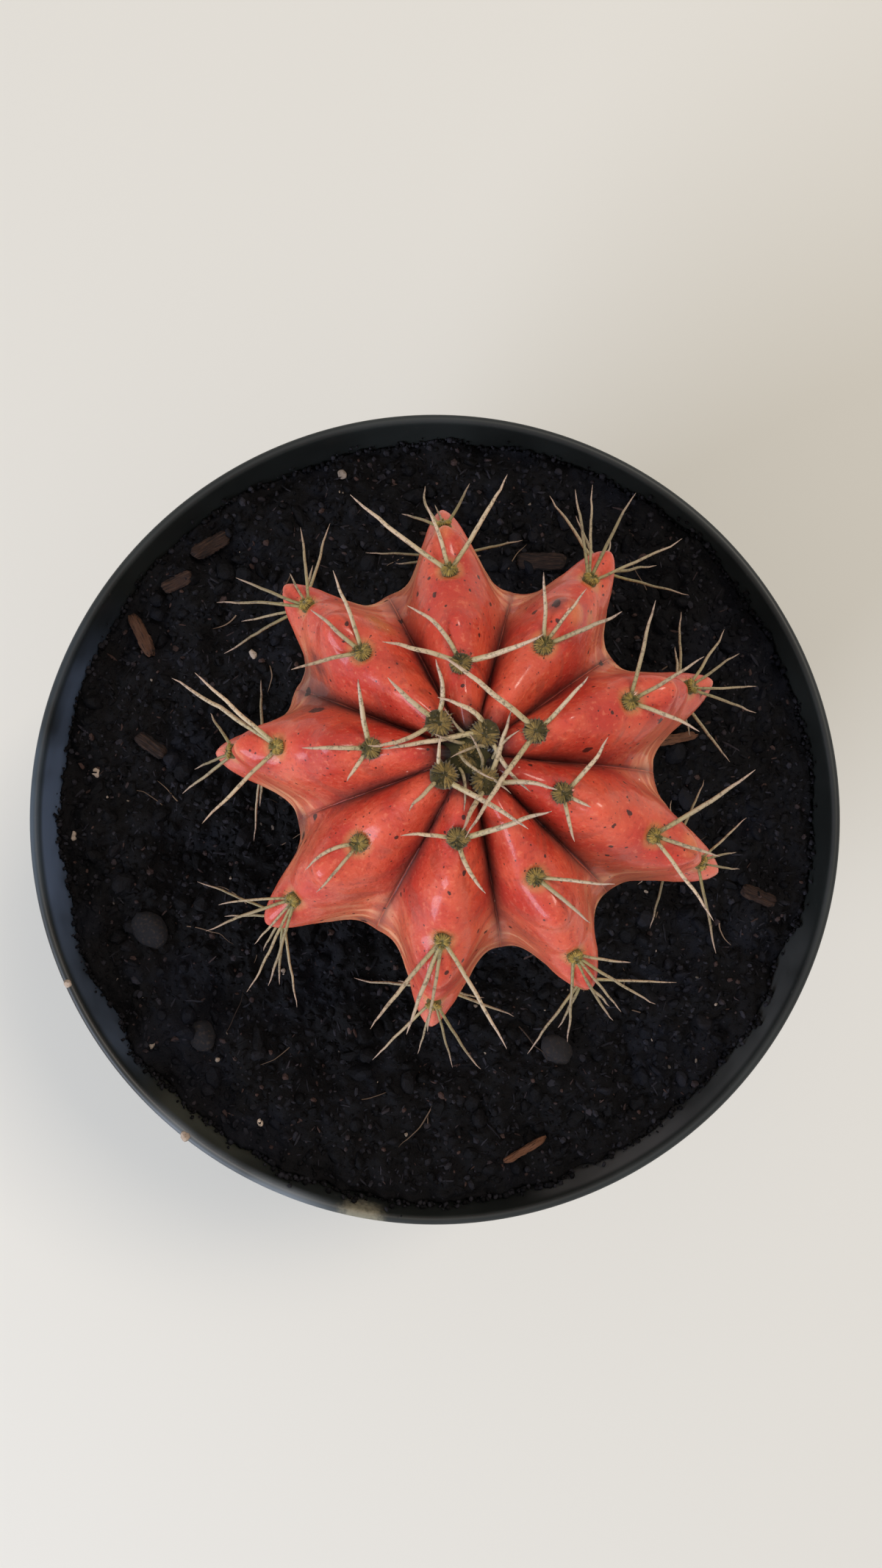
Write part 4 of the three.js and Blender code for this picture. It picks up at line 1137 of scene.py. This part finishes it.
blank = smooth_body()
print("smooth body:", len(blank.data.vertices), "points")

# %% A tree that carves the ribs
BODY_SIZES = {
    "Centre height": 12 * MM, "Furrow depth": 0.26, "Furrow start": 6 * MM, "Areole step": AREOLE_STEP * MM,
    "Crease depth": 0.7 * MM, "Crease width": 0.07,
    "Chin rise": 1.45 * MM, "Chin below": 3.2 * MM, "Chin length": 1.8 * MM, "Chin width": 0.36,
    "Notch depth": 0.5 * MM, "Notch length": 1.5 * MM, "Widest height": WIDEST_HEIGHT * MM,
    "Top height": TOP_HEIGHT * MM, "Wrinkle": 0.4 * MM, "Wrinkle size": 3.2 * MM, "Material": red_finish}
LEAN = (-0.5 * MM, 1.2 * MM, 0.0)


def bell(value, width):
    """Steps for a smooth hump: 1 where the value is 0, falling off over the width."""
    ratio = (DIVIDE, value, width)
    return (EXPONENT, (MULTIPLY, (MULTIPLY, ratio, ratio), -1))


def row_bells(tree, size, way, first, below, length):
    """Humps along a crest, one at each areole or below it, fading towards both ends of the rib."""
    past = add(tree, SUBTRACT, (SUBTRACT, way, first), below)
    nearest = (ROUND, (DIVIDE, past, size["Areole step"]))
    row = ({"type": "ShaderNodeClamp"}, nearest, 0, AREOLE_ROWS - 1)
    spaced = add(tree, MULTIPLY, row, size["Areole step"])
    place = add(tree, ADD, first, spaced)
    off = add(tree, SUBTRACT, past, spaced)
    strength = (MULTIPLY, (RISE, place, 0, 14 * MM), (RISE, place, 44 * MM, 56 * MM, 1, 0))
    return (MULTIPLY, bell(off, length), strength)


def ribbed(tree, size):
    """Carve furrows, chins and notches, lean the top, wrinkle the skin."""
    place = add(tree, POSITION)
    across = add(tree, ABSOLUTE, (NUMBER, "across"))
    angle, first, way = (add(tree, NUMBER, name) for name in ("angle", "first", "way"))
    x, y, z = add(tree, HEIGHT, place).node.outputs

    # Section of a rib: 0 on the crest, 1 in the furrow; rounded near the top, winged lower down
    winged = (RISE, angle, 25 * DEGREE, 80 * DEGREE)
    curved = (POWER, across, (*winged, 2.3, 1.6))
    section = (SUBTRACT, 1, (POWER, (SUBTRACT, 1, curved), (*winged, 1.15, 3.2)))

    # Furrow depth: none at the growing point and almost none at the graft
    radius = add(tree, V_LENGTH, (COMBINE, x, y))
    start = add(tree, SUBTRACT, 1, bell(radius, size["Furrow start"]))
    fade = (RISE, angle, 100 * DEGREE, math.pi, 1, 0.1)
    furrow = (MULTIPLY, (MULTIPLY, (MULTIPLY, size["Furrow depth"], start), fade), section)

    # A narrow crease where two ribs meet, deepest near the growing point
    narrowing = (DIVIDE, (SUBTRACT, 1, across), size["Crease width"])
    creased = (MULTIPLY, (EXPONENT, (MULTIPLY, narrowing, -1)), size["Crease depth"])
    crease = (MULTIPLY, creased, (RISE, angle, 30 * DEGREE, 86 * DEGREE, 1, 0))

    # Chins and notches stand on the crest
    chins = row_bells(tree, size, way, first, size["Chin below"], size["Chin length"])
    notches = row_bells(tree, size, way, first, 0, size["Notch length"])
    along = (SUBTRACT, (MULTIPLY, chins, size["Chin rise"]), (MULTIPLY, notches, size["Notch depth"]))
    beside = (MULTIPLY, along, bell(across, size["Chin width"]))
    bulge = (MULTIPLY, (SUBTRACT, beside, crease), start)

    # Everything is drawn in or out along the line from a centre on the axis
    centre = add(tree, COMBINE, 0, 0, size["Centre height"])
    arm = add(tree, V_SUBTRACT, place, centre)
    scale = add(tree, ADD, (SUBTRACT, 1, furrow), (DIVIDE, bulge, (V_LENGTH, arm)))
    wide = (RANGE, (SINE, angle), 0, 1, 1, (NUMBER, "longer"))
    spread = add(tree, MULTIPLY, scale, wide)
    carved = add(tree, V_ADD, (V_MULTIPLY, arm, (COMBINE, spread, spread, scale)), centre)
    leaning = ({**RANGE, "clamp": False}, (HEIGHT, carved), size["Widest height"], size["Top height"])
    leant = (V_ADD, carved, (V_SCALE, LEAN, (MAXIMUM, leaning, 0)))
    drawn = (MOVE, size["Geometry"], {"Position": leant})

    # Soft wrinkles along the normals, so that glints break up
    field = (NOISE, place, (DIVIDE, 1, size["Wrinkle size"]), 2)
    height = (MULTIPLY, (SUBTRACT, field, 0.5), size["Wrinkle"])
    return (MOVE, drawn, {"Offset": (V_SCALE, ({"type": "GeometryNodeInputNormal"},), height)})


body = grow("red_body", blank, new_tree("ribbed cactus body", BODY_SIZES, ribbed), BODY_SIZES)
body.data.transform(Matrix.Translation((PLANT + (0, 0, GRAFT_Z)) * MM))
print("red body:", len(body.data.vertices), "points")

# %% [markdown]
# ## Areoles
# The areoles sit on the crests, so their places and directions are read back from the carved mesh: down the
# crest, to its side, and out of the flesh. The skin also learns how far each point is from the spots of
# painted light on the chins and from the older areoles.

# %% Read the crests and set the areoles
# Painted light: lit spots on the chins beside the glints. Row of the areole, rib, millimetres past it and to
# its side
CHIN_LIGHT_SPOTS = [(1, 7, 3.6, 0.8), (1, 8, 3.2, -0.9), (1, 2, 3.8, 0.5), (1, 6, 2.6, 0.9), (1, 0, 3.2, 0.6)]
OLD_AREOLE = 12
FAR = 99.0
AREOLE_PLACES, AREOLE_SIZES = (3, 10, 20), (1.32, 0.95, 0.75)

skin_points = np.empty(len(body.data.vertices) * 3)
body.data.vertices.foreach_get("co", skin_points)
skin_points = skin_points.reshape(-1, 3) / MM


def crest_place(number, place):
    """Centre, down, side and outward directions at a way along a rib's crest."""
    middle = 1 + number * RIB_COLUMNS + RIB_COLUMNS // 2
    line = skin_points[[0, *(middle + BODY_COLUMNS * np.arange(BODY_ROWS))]]
    spots = [np.array([np.interp(place + step, WAY, axis) for axis in line.T]) for step in (-1, 0, 1)]
    down = Vector(spots[2] - spots[0]).normalized()
    side = swing(math.radians(RIBS[number]["turn"]))[1]
    return Vector(spots[1]), down, side, down.cross(side).normalized()


def store_distance(label, spots):
    """Store on the body how far each point is from the nearest of some spots."""
    nearest = np.full(len(skin_points), FAR)
    for spot in spots:
        nearest = np.minimum(nearest, np.linalg.norm(skin_points - spot, axis=1))
    store(body.data, label, nearest * MM)


areoles = []
for number, rib in enumerate(RIBS):
    for row, fan in enumerate(rib["fans"] + HIDDEN_FANS):
        place = rib["first"] + AREOLE_STEP * row
        if place <= LAST_AREOLE:
            areoles.append({"place": place, "axes": crest_place(number, place), "fan": fan, "row": row,
                            "size": float(np.interp(place, AREOLE_PLACES, AREOLE_SIZES))})
# Spots of painted light on the chins, beside the glints
warm = []
for row, number, past, aside in CHIN_LIGHT_SPOTS:
    centre, down, side, out = crest_place(number, RIBS[number]["first"] + AREOLE_STEP * row + past)
    warm.append(centre + side * aside)
store_distance("chin_light", warm)
store_distance("felt_edge", [areole["axes"][0] for areole in areoles if areole["place"] > OLD_AREOLE])
finish_piece(body, "red_flesh", "scion")
print(len(areoles), "areoles")

# %% [markdown]
# Scars, stains and smudges are listed as they are seen from above. Each one is then moved to the skin's
# nearest point, so that it is a spot from every side and no streak down a flank. Noise shifts the place that
# the spots are measured from, which frays their edges.

# %% Scars and smudges on the red skin
# Brown scars: place seen from above and reach, in millimetres
SCARS = [(-10.9, 11.4, 0.78), (-12.8, 15.7, 0.59), (-12.1, 13.4, 0.52), (-13.8, 0.2, 0.78),
         (-12.7, -0.8, 0.52), (-11.4, 1.3, 0.45), (-14.1, -2.8, 0.45), (-7.1, -9.3, 0.45),
         (11.2, 20.7, 0.55), (9.3, 20.1, 0.39),
         (10.4, 22, 0.31), (11.3, 19.1, 0.26), (-1.5, 22, 0.31), (0.2, 21.5, 0.26), (3.5, 22, 0.22),
         (16.3, 16.1, 0.39), (26.2, 13.4, 0.45), (14, 7.6, 0.5), (5.5, 21, 0.29), (21, 10.2, 0.33),
         (4.9, -9.8, 0.26), (7.4, -9.4, 0.29), (5.4, -12.6, 0.29), (-3, 19.8, 0.33), (-7.6, 18.9, 0.33),
         (17.9, 1.9, 0.4), (16.3, 0.6, 0.32), (16.2, -2.3, 0.3), (17.8, 4.5, 0.28), (1.5, -5.4, 0.26),
         (-2.6, -5.7, 0.24)]
# Yellowish stains, and then smudges of soil on the flanks, given in the same way
STAINS = [(-5, 19.4, 2.4), (14.5, 19.5, 1.2)]
GRIME = [(-12.4, 14.8, 3.68), (-10.8, 12.4, 3.22), (-11, 15.6, 2.3), (-13, 0.4, 2.53), (-13.4, -2.2, 2.07),
         (11.2, 20.6, 1.72), (-7, -9, 1.38), (10.5, -13, 1.61)]
# Each group with the share of a spot's reach that is full, its strength and its colour
MARKS = [(STAINS, 0.2, 0.45, "#b9803f"), (GRIME, 0.25, 0.65, "#57302c"), (SCARS, 0.75, 0.9, "#2a110d")]
FRAY = 0.7 * MM


def skin_place(x, y):
    """The point of the upper skin that is nearest to a place seen from above."""
    away = np.hypot(skin_points[:, 0] - x, skin_points[:, 1] - y)
    upper = skin_points[:, 2] > GRAFT_Z + WIDEST_HEIGHT - 1
    return skin_points[np.argmin(np.where(upper, away, np.inf))]


def mark_skin(material):
    """Paint the marks over the colour that the material has."""
    tree = material.node_tree
    shader = tree.nodes["Principled BSDF"]
    skin = shader.inputs["Base Color"].links[0].from_socket
    place = add(tree, {"type": "ShaderNodeTexCoord", "out": "Object"})
    frayed = add(tree, V_ADD, place, (V_SCALE, (DRIFT, place, per(0.6), 2), FRAY))
    for spots, full, strength, colour in MARKS:
        marked = 0
        for x, y, reach in spots:
            away = (V_DISTANCE, frayed, tuple(skin_place(x, y) * MM + FRAY / 2))
            marked = (MAXIMUM, marked, (RISE, away, reach * MM, reach * MM * full, 0, strength))
        skin = (MIX, marked, skin, colour)
    fill(tree, shader, [{"Base Color": skin}])


mark_skin(red_finish)
print(sum(len(group[0]) for group in MARKS), "marks on the skin")

# %% [markdown]
# An areole is a low cushion of matted hair. Locks of felt lie on it like the petals of a worn brush, longest
# on the side of the growing point, and loose hairs stand up between them. The lump tree makes the cushions
# and the locks, and the spine tree makes the hairs.

# %% Felt cushions, locks and hairs
FRINGE, TUFTS, HAIRS = 17, 10, 22
HAIR_RADIUS = 0.028
FELT_SIZES = {"Detail": 2, "Dent": 0.14 * MM, "Material": felt_finish}
LOCK_SIZES = {"Detail": 1, "Dent": 0.05 * MM, "Material": felt_finish}
HAIR_SIZES = {"Steps": 4, "Sides": 3, "Taper": 2.0, "Wobble": 0.4 * MM, "Wobble size": 0.5 * MM,
              "Material": felt_finish}
AREOLE_RISE = 0.6
FELT_AGES = (7, 20)
HEART_SIZE, HEART_FELT = 1.3, 2.7


def euler_of(forward, side, up):
    """Euler angles of a lump whose long axis points forward and whose short axis points up."""
    return Matrix((forward, side, up)).transposed().to_euler()


def lying(forward, out):
    """Euler angles of a lock that points forward with its flat side down."""
    across = out.cross(forward).normalized()
    return euler_of(forward, across, forward.cross(across))


def felt_parts():
    """Cushion points, lock points and hair rows of every areole and of the growing point."""
    random = np.random.default_rng(31)
    cushions, locks, hairs, hair_ages = [], [], [], []
    axes = [Vector(axis) for axis in (skin_points[0], (1, 0, 0), (0, 1, 0), (0, 0, 1))]
    heart = {"axes": axes, "size": HEART_SIZE, "place": 0}
    for areole in areoles + [heart]:
        centre, down, side, out = areole["axes"]
        radius = areole["size"]
        age = float(np.interp(areole["place"], FELT_AGES, (0, 1)))
        spot = centre - down * 0.2
        cushions.append((spot, euler_of(down, side, out), (radius, radius, AREOLE_RISE), 0.12, age))
        if areole is heart:
            wide = (HEART_FELT, HEART_FELT, AREOLE_RISE)
            cushions.append((spot, euler_of(down, side, out), wide, 0.05, age))

        # Flutes fan out over the cushion towards the growing point, like a scallop's
        for number in range(FRINGE):
            spin = math.radians(50 + 260 * (number + random.uniform(0.25, 0.75)) / FRINGE)
            flat = swing(spin, down, side)[0]
            forward = (flat - out * random.uniform(0.15, 0.4)).normalized()
            root = spot + flat * radius * random.uniform(0.56, 0.66) + out * AREOLE_RISE * 0.8
            lengths = (radius * random.uniform(0.5, 0.6), radius * 0.115, 0.17)
            locks.append((root, lying(forward, out), lengths, random.uniform(0.3, 0.9), age))

        # Short tufts cover the side that the spines leave from
        for _ in range(TUFTS):
            spin, ring = random.uniform(-1, 1), math.sqrt(random.uniform(0, 0.75))
            flat = swing(spin, down, side)[0]
            forward = (flat * (0.3 + ring) + out * random.uniform(0.4, 1.2)).normalized()
            foot = spot + down * 0.25 + flat * ring * radius * 0.8
            root = foot + out * AREOLE_RISE * (0.95 - 0.7 * ring ** 2)
            lengths = (random.uniform(0.18, 0.34), random.uniform(0.08, 0.12), 0.1)
            locks.append((root, lying(forward, out), lengths, random.uniform(0, 0.6), age))
        for _ in range(HAIRS):
            spin, ring = random.uniform(0, 2 * math.pi), math.sqrt(random.uniform(0, 1))
            flat = swing(spin, down, side)[0]
            root = spot + flat * ring * radius + out * AREOLE_RISE * 0.9 * (1 - ring ** 2)
            forward = (out + flat * ring * 1.6).normalized()
            length = random.uniform(0.3, 0.65)
            hairs.append((root, forward, length, HAIR_RADIUS, flat * random.uniform(-0.2, 0.3)))
            hair_ages.append(age)
    return cushions, locks, hairs, hair_ages


def grow_lumps(name, parts, sizes):
    """Grow lumps from rows of (place, turn, radii, tone, age) in millimetres."""
    place, turn, radii, tone, age = zip(*parts)
    source = mesh_object(name + "_points", place, size=np.array(radii) * MM, turn=turn, tone=tone, age=age)
    return grow(name, source, lump_growth, sizes)


cushions, locks, hairs, hair_ages = felt_parts()
finish_piece(grow_lumps("felt_cushions", cushions, FELT_SIZES), "areole_felt")
finish_piece(grow_lumps("felt_locks", locks, LOCK_SIZES), "areole_felt")
hair_tones = np.random.default_rng(32).uniform(0.2, 1, len(hairs))
finish_piece(grow_spines("felt_hairs", hairs, HAIR_SIZES, age=hair_ages, tone=hair_tones), "areole_felt")

# %% [markdown]
# ## Spines on the red body
# Each visible spine has its own side angle, length and curl from the list of ribs. It leaves the lower half
# of its areole, rises from the skin and curls a little. The growing point has a nest of young hooked spines.

# %% Grow the spines
# Radius of a spine in millimetres in the first, second and later rows from the growing point
SPINE_RADII = (0.22, 0.185, 0.138)
# Tone ranges of spines in the first, second and later rows: the later rows are painted darker, as painted
# shade
SPINE_SHADED_TONES = ((0.75, 1), (0.4, 0.9), (0, 0.5))
# Rise from the skin in degrees: the least, and the most that chance adds
SPINE_LIFT = (16, 15)
# Young spines: turn, distance from the growing point, length, lift and curl
YOUNG_SPINES = [(150, 1.2, 3.8, 40, -3.2), (215, 1.6, 3.0, 30, 2.8), (262, 1.4, 3.6, 35, 2.6),
                (300, 1.5, 3.2, 50, -2.6), (338, 2.0, 3.4, 28, 2.2), (20, 1.7, 3.0, 45, -2.8),
                (75, 1.6, 3.0, 35, 2.6), (110, 1.3, 2.6, 55, 2.0)]


def body_spines():
    """Rows for every spine of the red body, and a tone for each."""
    random = np.random.default_rng(9)
    rows, tones = [], []
    for areole in areoles:
        centre, down, side, out = areole["axes"]
        row = min(areole["row"], len(SPINE_RADII) - 1)
        for side_angle, length, curl in areole["fan"]:
            flat, aside = swing(math.radians(side_angle), down, side)
            lift = math.radians(SPINE_LIFT[0] + SPINE_LIFT[1] * random.uniform())
            direction = (flat * math.cos(lift) + out * math.sin(lift)).normalized()
            start = (aside * -curl * 0.35 / length + direction).normalized()
            root = centre + flat * 0.45 - out * 0.1
            thick = SPINE_RADII[row] * random.uniform(0.85, 1.1) * min(1.15, 0.8 + length / 25)
            bend = aside * curl * 1.3 + out * random.uniform(-0.5, 0.3)
            rows.append((root, start, length, thick, bend))
            tones.append(random.uniform(*SPINE_SHADED_TONES[row]))
    growing_point = Vector(skin_points[0])
    for turn, start, length, lift, curl in YOUNG_SPINES:
        flat, aside = swing(math.radians(turn))
        lift = math.radians(lift)
        root = growing_point + flat * start + Vector((0, 0, 0.1))
        direction = (flat * -0.3 * math.cos(lift) + aside * 0.6 + Vector((0, 0, math.sin(lift)))).normalized()
        rows.append((root, direction, length, 0.17, flat * curl + aside * 0.5 * curl))
        tones.append(random.uniform(0.3, 0.9))
    return rows, tones


spine_rows, spine_tones = body_spines()
finish_piece(grow_spines("scion_spines", spine_rows, SPINE_SIZES, tone=spine_tones), "spine")

# %% Spines and felt on the green stem
STEM_FELT = (0.9, 0.81, 0.5)


def stem_dressing():
    """Felt cushions and short spines of the stem's areoles."""
    random = np.random.default_rng(12)
    cushion_rows, rows = [], []
    for turn, z in STEM_AREOLES:
        out, side = swing(turn)
        down = Vector((0, 0, -1))
        centre = Vector((PLANT[0], PLANT[1], z)) + out * (float(stem_radius(turn)) - 0.05)
        cushion_rows.append((centre, euler_of(down, side, out), STEM_FELT, 0.6, 0.6))
        for up in (-1, 1, 0.2):
            direction = (out - down * up * 0.5 + side * random.uniform(-0.5, 0.5)).normalized()
            rows.append((centre, direction, random.uniform(1.8, 2.6), 0.2, out * 0.1))
    return cushion_rows, rows


cushion_rows, rows = stem_dressing()
finish_piece(grow_lumps("stem_felt", cushion_rows, FELT_SIZES), "areole_felt")
finish_piece(grow_spines("stem_spines", rows, SPINE_SIZES, tone=np.full(len(rows), 0.3)), "spine")
